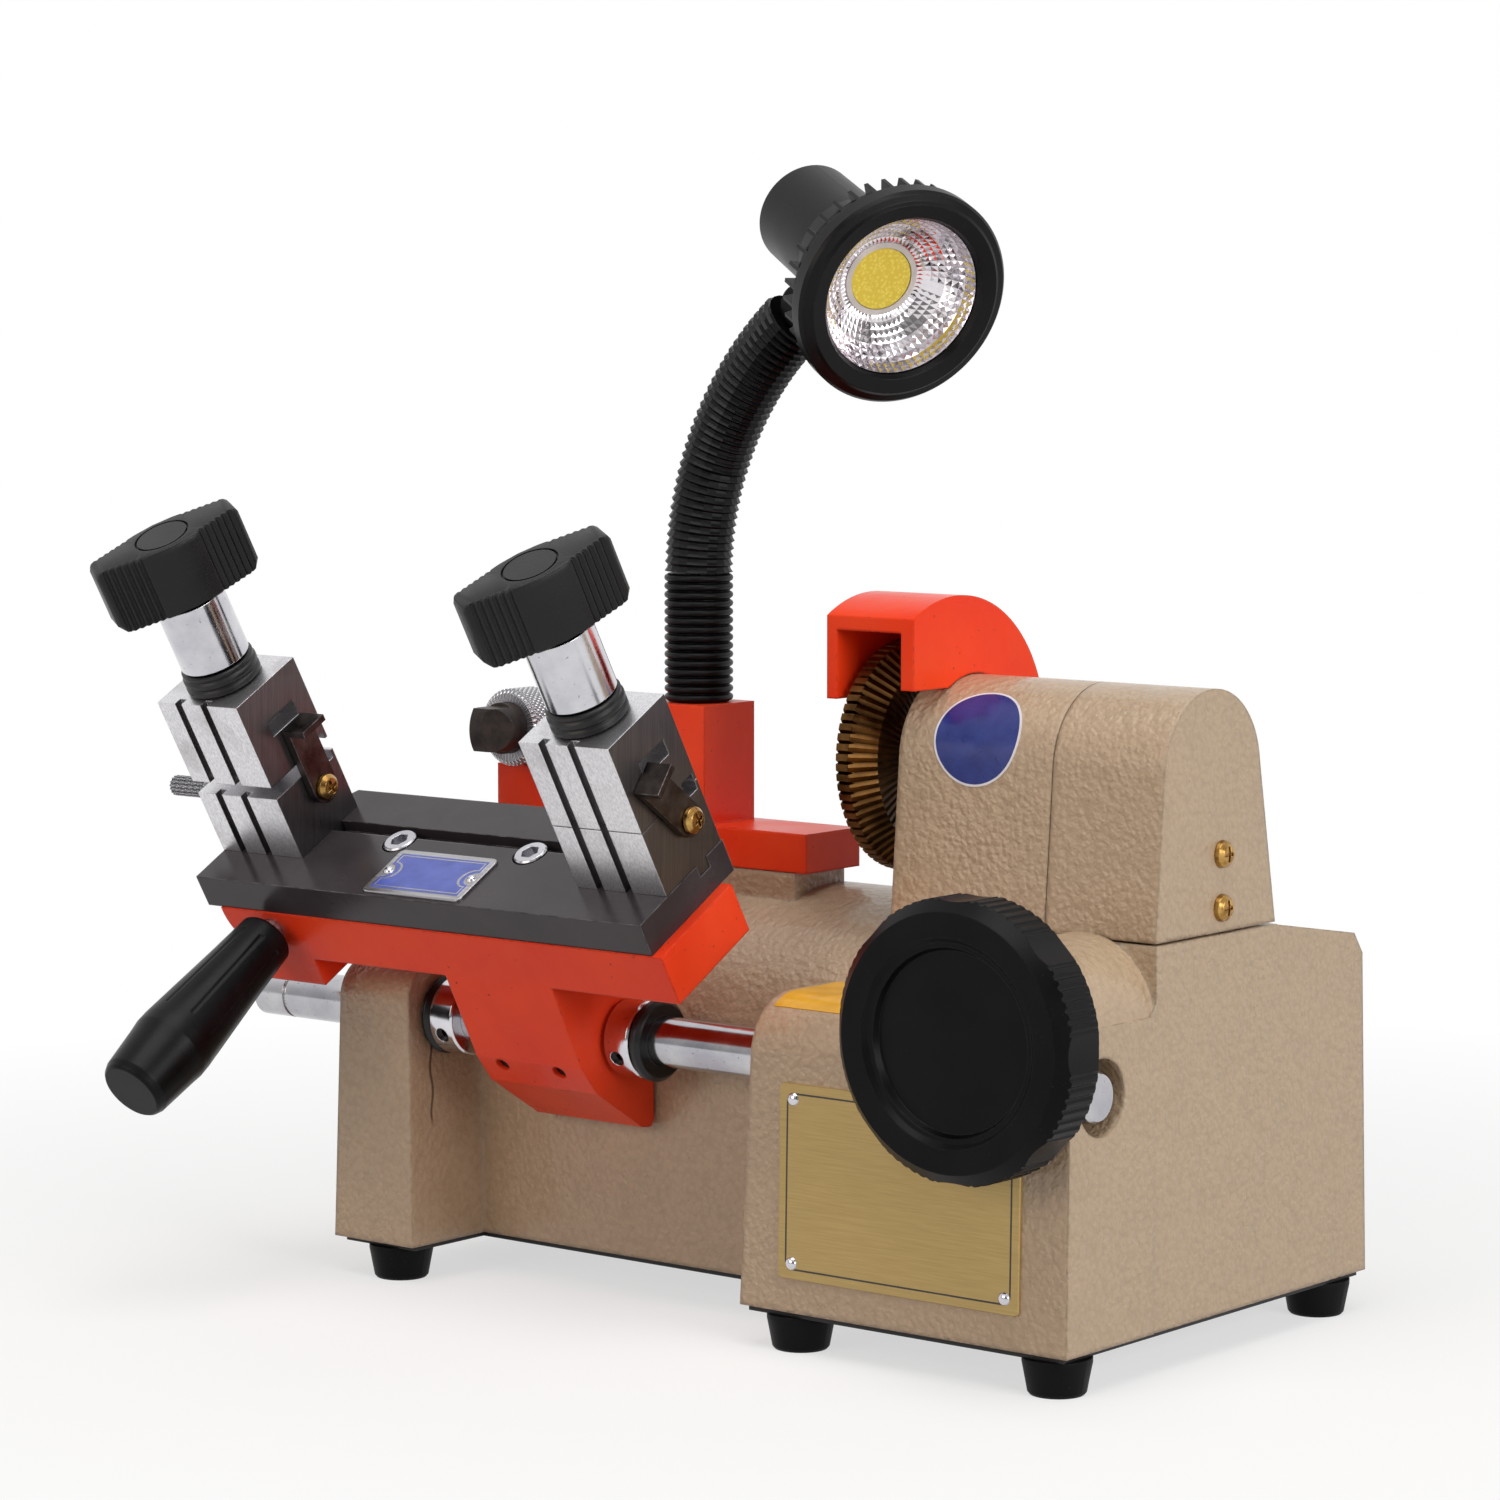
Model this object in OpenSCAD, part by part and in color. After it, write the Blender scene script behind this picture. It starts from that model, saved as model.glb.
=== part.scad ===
// Bench key duplicating machine: one sand-cast base with its spindle head, a rack-driven sliding shaft,
// a swinging two-vise carriage, a milling cutter under a guard, a tracer and a gooseneck work lamp.
// Origin: floor level, middle of the rubber feet. X runs along the carriage shaft and Y away
// from the operator.

/* [Base] */
// Overall length of the casting along X
base_len = 294; // [270:1:320]
// Depth of the casting along Y at its foot
base_depth = 166; // [150:1:180]
// Outer radius of the motor belly
belly_r = 55; // [50:0.5:60]
// Height of the middle of the motor belly
belly_z = 78; // [70:0.5:84]
// Wall thickness of the casting
wall = 5; // [4:0.5:8]
// Height of the rubber feet
foot_h = 11.2; // [8:0.2:16]

/* [Carriage shaft] */
// Diameter of the sliding shaft
shaft_d = 16; // [14:0.5:18]
// Height of the shaft above the floor
shaft_z = 88.3; // [80:0.1:95]
// Module of the rack and pinion teeth
tooth_module = 1.25; // [1:0.25:1.5]
// Number of teeth on the pinion
pinion_teeth = 19; // [16:1:22]
// Outer diameter of the handwheel
wheel_d = 85; // [70:1:95]

/* [Carriage] */
// Backward lean of the carriage toward the operator at rest, in degrees
carriage_tilt = 30; // [20:1:35]
// Length of the black top plate
plate_len = 191; // [170:1:210]
// Width of each vise jaw along X
jaw_w = 36; // [30:0.5:42]
// Depth of each vise jaw
jaw_d = 30; // [26:0.5:34]
// How far the left upper jaw stands open at rest
left_open = 4.6; // [0.3:0.1:7]

/* [Spindle] */
// Diameter of the milling cutter
cutter_d = 74; // [60:1:80]
// Height of the spindle above the floor
spindle_z = 178.5; // [170:0.5:190]
// Number of cutter teeth
cutter_teeth = 72; // [40:2:110]

/* [Lamp] */
// Outer diameter of the corrugated gooseneck
neck_d = 22.6; // [16:0.2:24]
// Radius of the bend of the gooseneck
neck_bend_r = 109; // [90:1:140]
// Outer diameter of the lamp's front ring
bezel_d = 71.4; // [60:0.2:80]

/* [Hidden] */
$fn = 48;

// Casting
left_x = -151.5;
right_x = left_x + base_len;
front_y = -81.5;
rear_y = front_y + base_depth;
wall_y = -48.25;
belly_y = wall_y + belly_r;
base_z = foot_h + 1.8;
top_slope = 9.3;
leg_w = 35;
block_x = 20;
block_top = 109.2;
block_front_r = 18;
leg_top = 105;
leg_front_r = 12;
seam_z = 130;
foot_places = [[-132.5, -71.25], [36, -71.25], [132.5, -71.25], [-132.5, 71.25], [132.5, 71.25]];

// Spindle head
spindle_y = -5.25;
arch_z = 179;
head_r = 26;
head_x = 42.8;
cover_x = 101;
head_front = -35.2;
head_back = 30.2;
boss_back = head_front - 0.4;
boss_r = 25.5;
pulley_x = 119;

// Carriage shaft and its drive
shaft_y = -64;
shaft_r = shaft_d / 2;
shaft_left = -200;
shaft_right = 142;
fit_gap = 0.05;
bush_r = 11;
bush_w = 12;
wheel_x = 116.5;
pitch_r = tooth_module * pinion_teeth / 2;
rack_r = shaft_r - tooth_module;
pinion_z = shaft_z + rack_r + pitch_r;
pinion_w = 10;
backlash = 0.14;

// Carriage, in its own leaning frame: origin on the shaft, z square to the plate
plate_left = -184.5;
plate_z = 63;
plate_t = 11.5;
plate_front = -20;
plate_back = 25.5;
bar_z = 34;
bar_left = -178.5;
bar_right = 10.5;
bar_front = -20.5;
bar_back = 18.4;
lug_left = -86.5;
lug_right = -41.5;
lug_screw_x = [-77, -53];
bolt_places = [[-116.4, 9], [-60.3, 9.4]];
left_collar = -114.8;
right_collar = -39.9;
collar_w = 10;
left_ring_w = 3;
right_ring_w = 4.4;
jaw_y = -5;
lower_jaw_h = 23.2;
upper_jaw_h = 31;
left_vise = -166.5;
right_vise = -11.75;
right_open = 0.3;
knob_turn = 59;
right_finger_lean = 25;
stud_y = 10;
ledge_y = 17.8;
ledge_w = 6;
finger_y = 13.5;
finger_z = 16;
pin_y = 2.5;
pin_z = 19.5;

// Cutter and guard
cutter_x = 25.5;
guard_y = -13.75;
guard_z = 183.5;
guard_r = 46.5;
guard_right = 52.9;
guard_screw_x = 48;
guard_screw_z = [186.8, 195.4];

// Tracer bracket
bracket_z = 138;
bracket_y = -14.25;
bracket_d = 28;
bracket_t = 12.7;
bracket_bolt_x = [-95, -82];
tracer_x = -126;
tracer_z = 179;
tracer_screw_y = 0;
head_of_sleeve_r = 12.95;
barrel_r = 9;
shank_r = 6.5;
pin_head_r = 8.6;

// Lamp
neck_x = -62.6;
neck_y = -1.25;
neck_z = 190;
bend_z = 230;
lower_end = 232.1;
bend_from = 1.4;
bend_to = 20;
neck_to = 51;
rib_pitch = 2.8;
rib_depth = 1.2;
lamp_at = [20.5, -1.25, 322.4];
lamp_turn = -26.1;
lamp_dip = 21.2;
knuckle_r = 7;
led_depth = 15.5;

// Back wall
switch_x = -96;
switch_z = 50;
gland_x = -60;

// ---------------------------------------------------------------- helpers

// A round bar along X from x1 to x2
module bar_x(x1, x2, y, z, r) {
    translate([x1, y, z])
        rotate([0, 90, 0])
            cylinder(h = x2 - x1, r = r);
}

// A round bar along Y from y1 to y2
module bar_y(x, y1, y2, z, r) {
    translate([x, y1, z])
        rotate([-90, 0, 0])
            cylinder(h = y2 - y1, r = r);
}

// A Y-Z outline carried along X from x1 to x2
module along_x(x1, x2) {
    translate([x1, 0, 0])
        rotate([90, 0, 90])
            linear_extrude(height = x2 - x1)
                children();
}

// A box given by its two corners
module block(low, high) {
    translate(low)
        cube([high[0] - low[0], high[1] - low[1], high[2] - low[2]]);
}

// The leaning frame of the carriage
module on_carriage() {
    translate([0, shaft_y, shaft_z])
        rotate([carriage_tilt, 0, 0])
            children();
}

// The lamp's own frame: x points out of the reflector, origin at its mouth
module on_lamp() {
    translate(lamp_at)
        rotate([0, 0, lamp_turn])
            rotate([0, lamp_dip, 0])
                children();
}

// Points where one straight flank touches two circles; side is 1 or -1
function flank(a, ra, b, rb, side) =
    let (d = norm(b - a))
    let (u = (b - a) / d)
    let (s = (ra - rb) / d)
    let (w = [-u[1], u[0]] * side)
    let (n = u * s + w * sqrt(1 - s * s))
    [a + n * ra, b + n * rb];

// Points along an arc about c, from one angle to another
function arc_points(c, r, from, to, steps) =
    [for (i = [0 : steps]) let (t = from + (to - from) * i / steps) c + r * [cos(t), sin(t)]];

// A flat loop round two circles, as one outline
module loop(a, ra, b, rb) {
    u = (b - a) / norm(b - a);
    lean = atan2(u[1], u[0]);
    open = acos((ra - rb) / norm(b - a));
    polygon(concat(
        arc_points(a, ra, lean + open, lean + 360 - open, 30),
        arc_points(b, rb, lean - open, lean + open, 30)
    ));
}

// ---------------------------------------------------------------- base casting

// Outline of the housing across X, drawn in by t all round
module body_outline(t) {
    nip = 0.04;
    r = belly_r - t - nip;
    back = rear_y - t;
    top = [belly_y + r * sin(top_slope), belly_z + r * cos(top_slope)];
    fall = tan(top_slope);
    translate([belly_y, belly_z])
        circle(r = belly_r - t, $fn = 96);
    polygon([
        [wall_y + t + nip, base_z],
        [back, base_z],
        [back - 4, top[1] - (back - 4 - top[0]) * fall - 6],
        [back - 9, top[1] - (back - 9 - top[0]) * fall],
        top,
        [belly_y, belly_z],
        [wall_y + t + nip, belly_z]
    ]);
}

// Outline of the front block and the leg across X: a drafted front and a rounded upper edge
module front_outline(front, top, r) {
    nip = 0.04;
    draft = 1.5;
    c = [front + draft + r, top - r];
    translate(c)
        circle(r = r, $fn = 64);
    polygon([
        [front, base_z],
        [wall_y + 12, base_z],
        [wall_y + 12, top - nip],
        [c[0], top - nip],
        c,
        [front + draft + nip, c[1]]
    ]);
}

// Keeps what lies between two side faces that lean in toward the top
module drafted(x1, x2, lean1, lean2) {
    z2 = 140;
    rotate([90, 0, 0])
        translate([0, 0, -120])
            linear_extrude(height = 240)
                polygon([
                    [x1, base_z],
                    [x2, base_z],
                    [x2 - lean2, z2],
                    [x1 + lean1, z2]
                ]);
}

// Arch of the head and the belt cover across X, standing on floor_z and drawn in by t
module arch_outline(t, floor_z) {
    r = head_r - t;
    top = [spindle_y, arch_z];
    low_l = [head_front + t, seam_z];
    low_r = [head_back - t, seam_z];
    left = flank(top, r - 0.04, low_l, 0, -1);
    right = flank(top, r - 0.04, low_r, 0, 1);
    intersection() {
        union() {
            translate(top)
                circle(r = r, $fn = 64);
            polygon([top, left[0], low_l, low_l - [0, 60], low_r - [0, 60], low_r, right[0]]);
        }
        translate([-100, floor_z])
            square([200, 200]);
    }
}

module casting_mass() {
    along_x(left_x, right_x)
        body_outline(0);
    // front block that carries the drive
    intersection() {
        along_x(block_x - 1, right_x + 1)
            front_outline(front_y, block_top, block_front_r);
        drafted(block_x, right_x + 0.5, 5, 0.5);
    }
    // left leg under the end of the shaft
    intersection() {
        along_x(left_x - 1, left_x + leg_w + 1)
            front_outline(front_y - 1.5, leg_top, leg_front_r);
        drafted(left_x, left_x + leg_w, 3, 4);
    }
    // housing of the pinion shaft
    bar_y(wheel_x, front_y - 1.5, boss_back, pinion_z, boss_r);
    // spindle head
    along_x(head_x, cover_x)
        arch_outline(0, 100);
    // low wall that the belt cover stands on
    block([cover_x - 1, head_front - 0.5, 95], [right_x, head_back + 0.2, seam_z]);
    // seat of the tracer bracket
    block([-100, bracket_y + 0.2, 118], [-12, bracket_y + 26, bracket_z - 0.2]);
}

module casting_hollow() {
    // motor room and belt room, open at the bottom
    along_x(left_x + wall, right_x - wall)
        union() {
            body_outline(wall);
            translate([wall_y + wall + 0.04, base_z - 1])
                square([rear_y - wall_y - 2 * wall - 0.04, 2]);
        }
    // room in the front block, under the shaft
    block([block_x + wall + 2, front_y + wall + 1, base_z - 1], [right_x - wall, wall_y - 1, 66]);
    // room in the leg
    block([left_x + wall + 1, front_y + wall, base_z - 1], [left_x + leg_w - wall - 1, wall_y - 1, 66]);
    // way for the belt up into the cover
    block([cover_x + 4, head_front + 7, 95], [right_x - wall - 0.5, head_back - 6, seam_z + 1]);
}

module base_casting() {
    color([0.69, 0.61, 0.5])
    difference() {
        casting_mass();
        casting_hollow();
        // flat seam that the belt cover stands on
        block([cover_x, boss_back, seam_z], [right_x + 5, rear_y, 150]);
        // way of the shaft: bush seats in the leg and at the left of the block, clear round the rack
        bar_x(left_x - 5, left_x + leg_w + 5, shaft_y, shaft_z, bush_r);
        bar_x(block_x - 5, block_x + 40, shaft_y, shaft_z, bush_r);
        bar_x(block_x + 35, right_x + 5, shaft_y, shaft_z, shaft_r + 0.6);
        bar_x(right_x - 14, right_x + 5, shaft_y, shaft_z, 11.8);
        // pocket of the pinion and bores of its bush and tail
        bar_y(wheel_x, shaft_y - pinion_w / 2 - 1, shaft_y + pinion_w / 2 + 1, pinion_z,
              pitch_r + tooth_module + 1.2);
        bar_y(wheel_x, front_y - 3, shaft_y, pinion_z, 9.05);
        bar_y(wheel_x, shaft_y, shaft_y + 16, pinion_z, 5.05);
        // spindle bore with a seat for a bearing at each end
        bar_x(head_x - 1, cover_x + 1, spindle_y, spindle_z, 11);
        bar_x(head_x - 1, head_x + 12, spindle_y, spindle_z, 16.02);
        bar_x(cover_x - 12, cover_x + 1, spindle_y, spindle_z, 16.02);
        // tapped holes of the guard screws
        for (z = guard_screw_z)
            bar_y(guard_screw_x, 8, 30, z, 2.55);
        // switch and gland holes in the back wall
        block([switch_x - 11.5, rear_y - 20, switch_z - 7], [switch_x + 11.5, rear_y + 5, switch_z + 7]);
        bar_y(gland_x, rear_y - 20, rear_y + 5, switch_z, 6);
        // tapped holes under the tracer bracket
        for (x = bracket_bolt_x)
            translate([x, bracket_y + 13, bracket_z - 16])
                cylinder(h = 20, r = 2.6);
    }
}

module bottom_plate() {
    color([0.25, 0.25, 0.26])
    difference() {
        union() {
            block([left_x + 2, front_y + 2, foot_h], [left_x + leg_w - 2, rear_y - 2, base_z]);
            block([left_x + leg_w - 3, wall_y + 2, foot_h], [block_x + 3, rear_y - 2, base_z]);
            block([block_x + 2, front_y + 2, foot_h], [right_x - 2, rear_y - 2, base_z]);
        }
        for (p = foot_places)
            translate([p[0], p[1], foot_h - 1])
                cylinder(h = 4, r = 2.6);
    }
}

module rubber_feet() {
    color([0.07, 0.07, 0.07])
    for (p = foot_places)
        translate([p[0], p[1], 0])
            difference() {
                rotate_extrude()
                    polygon([[0, 0], [8.2, 0], [8.9, 0.8], [10.6, foot_h - 1.5], [10.6, foot_h],
                             [0, foot_h]]);
                translate([0, 0, -1])
                    cylinder(h = 6, r = 4.5);
            }
}

module belt_cover() {
    color([0.7, 0.62, 0.51])
    difference() {
        along_x(cover_x + 0.4, right_x - 0.6)
            arch_outline(0, seam_z + 0.7);
        along_x(cover_x - 1, right_x - 4)
            arch_outline(3.5, seam_z - 1);
        for (z = [138.1, 154.5])
            bar_x(right_x - 10, right_x + 1, 0, z, 2.3);
    }
}

module cover_screws() {
    color([0.8, 0.62, 0.25])
    for (z = [138.1, 154.5])
        difference() {
            union() {
                bar_x(right_x - 12, right_x - 0.5, 0, z, 2);
                translate([right_x - 0.5, 0, z])
                    rotate([0, 90, 0])
                        rotate_extrude()
                            polygon([[0, 0], [4.3, 0], [4, 1.4], [2.8, 2.6], [0, 3]]);
            }
            block([right_x + 1.2, -0.6, z - 2.4], [right_x + 4, 0.6, z + 2.4]);
            block([right_x + 1.2, -2.4, z - 0.6], [right_x + 4, 2.4, z + 0.6]);
        }
}

// ---------------------------------------------------------------- drive

module motor() {
    color([0.35, 0.36, 0.38])
    difference() {
        union() {
            bar_x(-96, 78, belly_y, belly_z, 42);
            bar_x(-104, 86, belly_y, belly_z, 20);
            for (x = [-70, 50])
                block([x, belly_y - 40, base_z + 0.1], [x + 20, belly_y + 40, base_z + 30]);
        }
        bar_x(-90, 90, belly_y, belly_z, 6 + fit_gap);
        for (x = [-80 : 20 : 60])
            difference() {
                bar_x(x, x + 8, belly_y, belly_z, 43);
                bar_x(x - 1, x + 9, belly_y, belly_z, 39);
            }
    }
}

module motor_rotor() {
    color([0.75, 0.76, 0.78])
    bar_x(-88, 128, belly_y, belly_z, 6);
}

module grooved_pulley(r, x, y, z, bore) {
    color([0.6, 0.61, 0.63])
    translate([x - 8, y, z])
        rotate([90, 0, 90])
            rotate_extrude()
                polygon([[bore, 0], [r + 2, 0], [r + 2, 2], [r - 1.5, 5], [r - 1.5, 11], [r + 2, 14],
                         [r + 2, 16], [bore, 16]]);
}

module motor_pulley() {
    grooved_pulley(15, pulley_x, belly_y, belly_z, 6.03);
}

module spindle_pulley() {
    grooved_pulley(19, pulley_x, spindle_y, spindle_z, 6.53);
}

module drive_belt() {
    color([0.1, 0.1, 0.1])
    along_x(pulley_x - 2.6, pulley_x + 2.6)
        difference() {
            loop([belly_y, belly_z], 17.3, [spindle_y, spindle_z], 21.3);
            loop([belly_y, belly_z], 13.8, [spindle_y, spindle_z], 17.8);
        }
}

module spindle() {
    color([0.78, 0.79, 0.8])
    union() {
        bar_x(16, 132, spindle_y, spindle_z, 6.5);
        bar_x(38, 106, spindle_y, spindle_z, 8);
        // flange that the cutter seats on
        bar_x(38, 41.6, spindle_y, spindle_z, 15);
    }
}

module spindle_bearings() {
    color([0.7, 0.71, 0.73])
    for (x = [head_x + 1, cover_x - 12])
        translate([x, spindle_y, spindle_z])
            rotate([90, 0, 90])
                rotate_extrude()
                    polygon([[8.05, 0], [16, 0], [16, 11], [13.5, 11], [13.5, 10.4], [10.5, 10.4],
                             [10.5, 11], [8.05, 11]]);
}

// One tooth gap of the cutter, sunk into the rim and its bevelled face
module cutter_gap() {
    translate([0, 0, cutter_d / 2 + 0.4])
        rotate([90, 0, 90])
            translate([0, 0, -1])
                linear_extrude(height = 16)
                    polygon([[-0.95, 0.6], [0.95, 0.6], [-0.3, -2.1]]);
}

module cutter_wheel() {
    color([0.55, 0.44, 0.28])
    translate([cutter_x, spindle_y, spindle_z])
        difference() {
            rotate([90, 0, 90])
                rotate_extrude($fn = 96)
                    polygon([[6.53, 0], [cutter_d / 2 - 4, 0], [cutter_d / 2, 1], [cutter_d / 2, 5.5],
                             [cutter_d / 2 - 7, 12], [13, 12], [13, 12.4], [6.53, 12.4]]);
            for (i = [0 : cutter_teeth - 1])
                rotate([i * 360 / cutter_teeth, 0, 0])
                    cutter_gap();
        }
}

module cutter_nut() {
    color([0.72, 0.73, 0.75])
    translate([cutter_x - 0.2, spindle_y, spindle_z])
        rotate([0, -90, 0])
            difference() {
                union() {
                    cylinder(h = 2, r = 14);
                    cylinder(h = 8, r = 11, $fn = 6);
                }
                translate([0, 0, -1])
                    cylinder(h = 12, r = 6.55);
            }
}

// ---------------------------------------------------------------- guard

// Back of the guard at height z
function guard_back(z) = guard_y + sqrt(guard_r * guard_r - pow(z - guard_z, 2));

module cutter_guard() {
    front = -37.25;
    left = 19.1;
    roof = 240;
    color([0.95, 0.26, 0.1])
    difference() {
        union() {
            difference() {
                intersection() {
                    bar_x(left, guard_right, guard_y, guard_z, guard_r);
                    union() {
                        block([left, front, 197.6], [left + 20, guard_y, roof]);
                        block([left, guard_y - 1, 197.6], [guard_right, 40, roof]);
                        block([left + 15, front, 201.5], [guard_right, guard_y + 1, roof]);
                    }
                }
                bar_x(left + 3.8, guard_right - 4.9, guard_y, guard_z, guard_r - 3.8);
            }
            // foot behind the head
            intersection() {
                bar_x(head_x + 0.5, guard_right, guard_y, guard_z, guard_r);
                block([head_x, 6, 182], [guard_right, 40, 198]);
            }
        }
        // lower edge follows the crown of the head
        along_x(head_x - 0.3, guard_right + 1)
            arch_outline(-0.3, 118);
        for (z = guard_screw_z) {
            bar_y(guard_screw_x, 0, 40, z, 2.7);
            bar_y(guard_screw_x, guard_back(z) - 0.1, 60, z, 4.2);
        }
    }
}

module guard_screws() {
    color([0.3, 0.3, 0.31])
    for (z = guard_screw_z)
        translate([guard_screw_x, guard_back(z), z])
            rotate([90, 0, 0])
                difference() {
                    union() {
                        translate([0, 0, -3])
                            cylinder(h = 3.05, r = 3.9);
                        cylinder(h = 22, r = 2.5);
                    }
                    block([-5, -0.5, -4], [5, 0.5, -2]);
                }
}

// ---------------------------------------------------------------- shaft and wheel

// The shaft with its round rack: grooves between straight-sided teeth, turned all round
module carriage_shaft() {
    pitch = PI * tooth_module;
    half_top = pitch / 4 + backlash + tooth_module * tan(20);
    half_low = pitch / 4 + backlash - tooth_module * 1.15 * tan(20);
    depth = tooth_module * 2.15;
    first = -13;
    last = 3;
    color([0.8, 0.81, 0.83])
    translate([0, shaft_y, shaft_z])
        rotate([90, 0, 90])
            rotate_extrude()
                polygon(concat(
                    [[0, shaft_left], [shaft_r - 1, shaft_left], [shaft_r, shaft_left + 1]],
                    [[shaft_r, shaft_left + 14], [shaft_r - 0.8, shaft_left + 14.4]],
                    [[shaft_r - 0.8, shaft_left + 15], [shaft_r, shaft_left + 15.4]],
                    [for (i = [first : last])
                        for (q = [[0, -half_top], [-depth, -half_low], [-depth, half_low], [0, half_top]])
                            [shaft_r + q[0], wheel_x + i * pitch + q[1]]],
                    [[shaft_r, shaft_right - 1], [shaft_r - 1, shaft_right], [0, shaft_right]]
                ));
}

module shaft_bushes() {
    color([0.72, 0.58, 0.3])
    for (x = [left_x + 2, left_x + leg_w - 16, block_x + 3, block_x + 24])
        translate([x, shaft_y, shaft_z])
            rotate([0, 90, 0])
                difference() {
                    cylinder(h = bush_w, r = bush_r);
                    translate([0, 0, -1])
                        cylinder(h = bush_w + 2, r = shaft_r + fit_gap);
                }
}

// A round ring on the shaft from x1 to x2 with rounded edges
module shaft_ring(x1, x2, r, edge) {
    bore = shaft_r + 0.02;
    translate([x1, shaft_y, shaft_z])
        rotate([90, 0, 90])
            rotate_extrude()
                polygon([[bore, 0], [r - edge, 0], [r, edge], [r, x2 - x1 - edge], [r - edge, x2 - x1],
                         [bore, x2 - x1]]);
}

module stop_collars() {
    color([0.8, 0.81, 0.83])
    for (x = [left_collar, right_collar])
        difference() {
            shaft_ring(x, x + collar_w, 12.6, 0.6);
            translate([x + collar_w / 2, shaft_y, shaft_z])
                rotate([115, 0, 0])
                    cylinder(h = 20, r = 2.55);
        }
}

module collar_screws() {
    color([0.12, 0.12, 0.13])
    for (x = [left_collar, right_collar])
        translate([x + collar_w / 2, shaft_y, shaft_z])
            rotate([115, 0, 0])
                translate([0, 0, shaft_r + 0.1])
                    difference() {
                        cylinder(h = 3.2, r = 2.5);
                        translate([0, 0, 1])
                            cylinder(h = 4, r = 1.4, $fn = 6);
                    }
}

module bumper_rings() {
    color([0.07, 0.07, 0.07])
    union() {
        shaft_ring(left_collar - 0.3 - left_ring_w, left_collar - 0.3, 13.1, 1.4);
        shaft_ring(right_collar + collar_w + 0.3, right_collar + collar_w + 0.3 + right_ring_w, 13.1, 1.4);
    }
}

// One involute flank point at radius r on a base circle rb
function involute_angle(r, rb) = sqrt(r * r / (rb * rb) - 1) * 180 / PI - acos(rb / r);

module pinion() {
    rb = pitch_r * cos(20);
    ro = pitch_r + tooth_module;
    rr = pitch_r - tooth_module * 1.25;
    half = 90 / pinion_teeth - backlash / pitch_r * 180 / PI + involute_angle(pitch_r, rb);
    radii = [rb + 0.02, rb + (ro - rb) * 0.33, rb + (ro - rb) * 0.66, ro];
    circle(r = rr + 0.02, $fn = 64);
    for (i = [0 : pinion_teeth - 1])
        rotate(i * 360 / pinion_teeth)
            polygon(concat(
                [[rr * cos(half), -rr * sin(half)]],
                [for (r = radii) let (a = half - involute_angle(r, rb)) [r * cos(a), -r * sin(a)]],
                [for (k = [3 : -1 : 0])
                    let (r = radii[k]) let (a = half - involute_angle(r, rb)) [r * cos(a), r * sin(a)]],
                [[rr * cos(half), rr * sin(half)]]
            ));
}

module pinion_shaft() {
    color([0.7, 0.71, 0.73])
    translate([wheel_x, shaft_y, pinion_z])
        union() {
            translate([0, -pinion_w / 2, 0])
                rotate([-90, 0, 0])
                    linear_extrude(height = pinion_w)
                        rotate(90)
                            pinion();
            translate([0, -pinion_w / 2 - 27, 0])
                rotate([-90, 0, 0])
                    cylinder(h = 27.1, r = 6);
            translate([0, pinion_w / 2 - 0.1, 0])
                rotate([-90, 0, 0])
                    cylinder(h = 10.5, r = 5);
        }
}

module pinion_bush() {
    color([0.72, 0.58, 0.3])
    difference() {
        bar_y(wheel_x, front_y - 1, shaft_y - pinion_w / 2 - 1.5, pinion_z, 9);
        bar_y(wheel_x, front_y - 3, shaft_y, pinion_z, 6 + fit_gap);
    }
}

module handwheel() {
    r = wheel_d / 2;
    depth = 18.5;
    back_y = -87;
    groups = 8;
    color([0.06, 0.06, 0.065])
    translate([wheel_x, back_y, pinion_z])
        rotate([90, 0, 0])
            difference() {
                rotate_extrude($fn = 96)
                    polygon([[6.02, 1], [13, 1], [13, 5], [33, 5], [33, 0], [r - 1.5, 0], [r, 1.5],
                             [r, depth - 4], [r - 4, depth], [31, depth], [29.5, depth - 1.5],
                             [28, depth - 1.5], [27, depth - 3.5], [0, depth - 3.5], [0, 9.3],
                             [6.02, 9.3]]);
                // shallow finger hollows between the ribbed groups
                for (i = [0 : groups - 1])
                    rotate([0, 0, i * 360 / groups])
                        translate([r + 26.8, 0, -1])
                            cylinder(h = depth + 2, r = 28);
                for (i = [0 : groups - 1])
                    for (k = [-3 : 3])
                        rotate([0, 0, (i + 0.5) * 360 / groups + k * 4.6])
                            translate([r + 0.5, 0, -1])
                                cylinder(h = depth - 2, r = 1.1, $fn = 16);
            }
}

// ---------------------------------------------------------------- carriage

module lug_outline() {
    polygon([
        [bar_front, bar_z + 1],
        [-21.8, 3],
        [-20, -8],
        [-7.6, -31],
        [-4, -33.4],
        [-1.6, -31.8],
        [15.2, -1.5],
        [15.8, 1],
        [15.8, 10],
        [bar_back, 14],
        [bar_back, bar_z + 1]
    ]);
}

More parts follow.
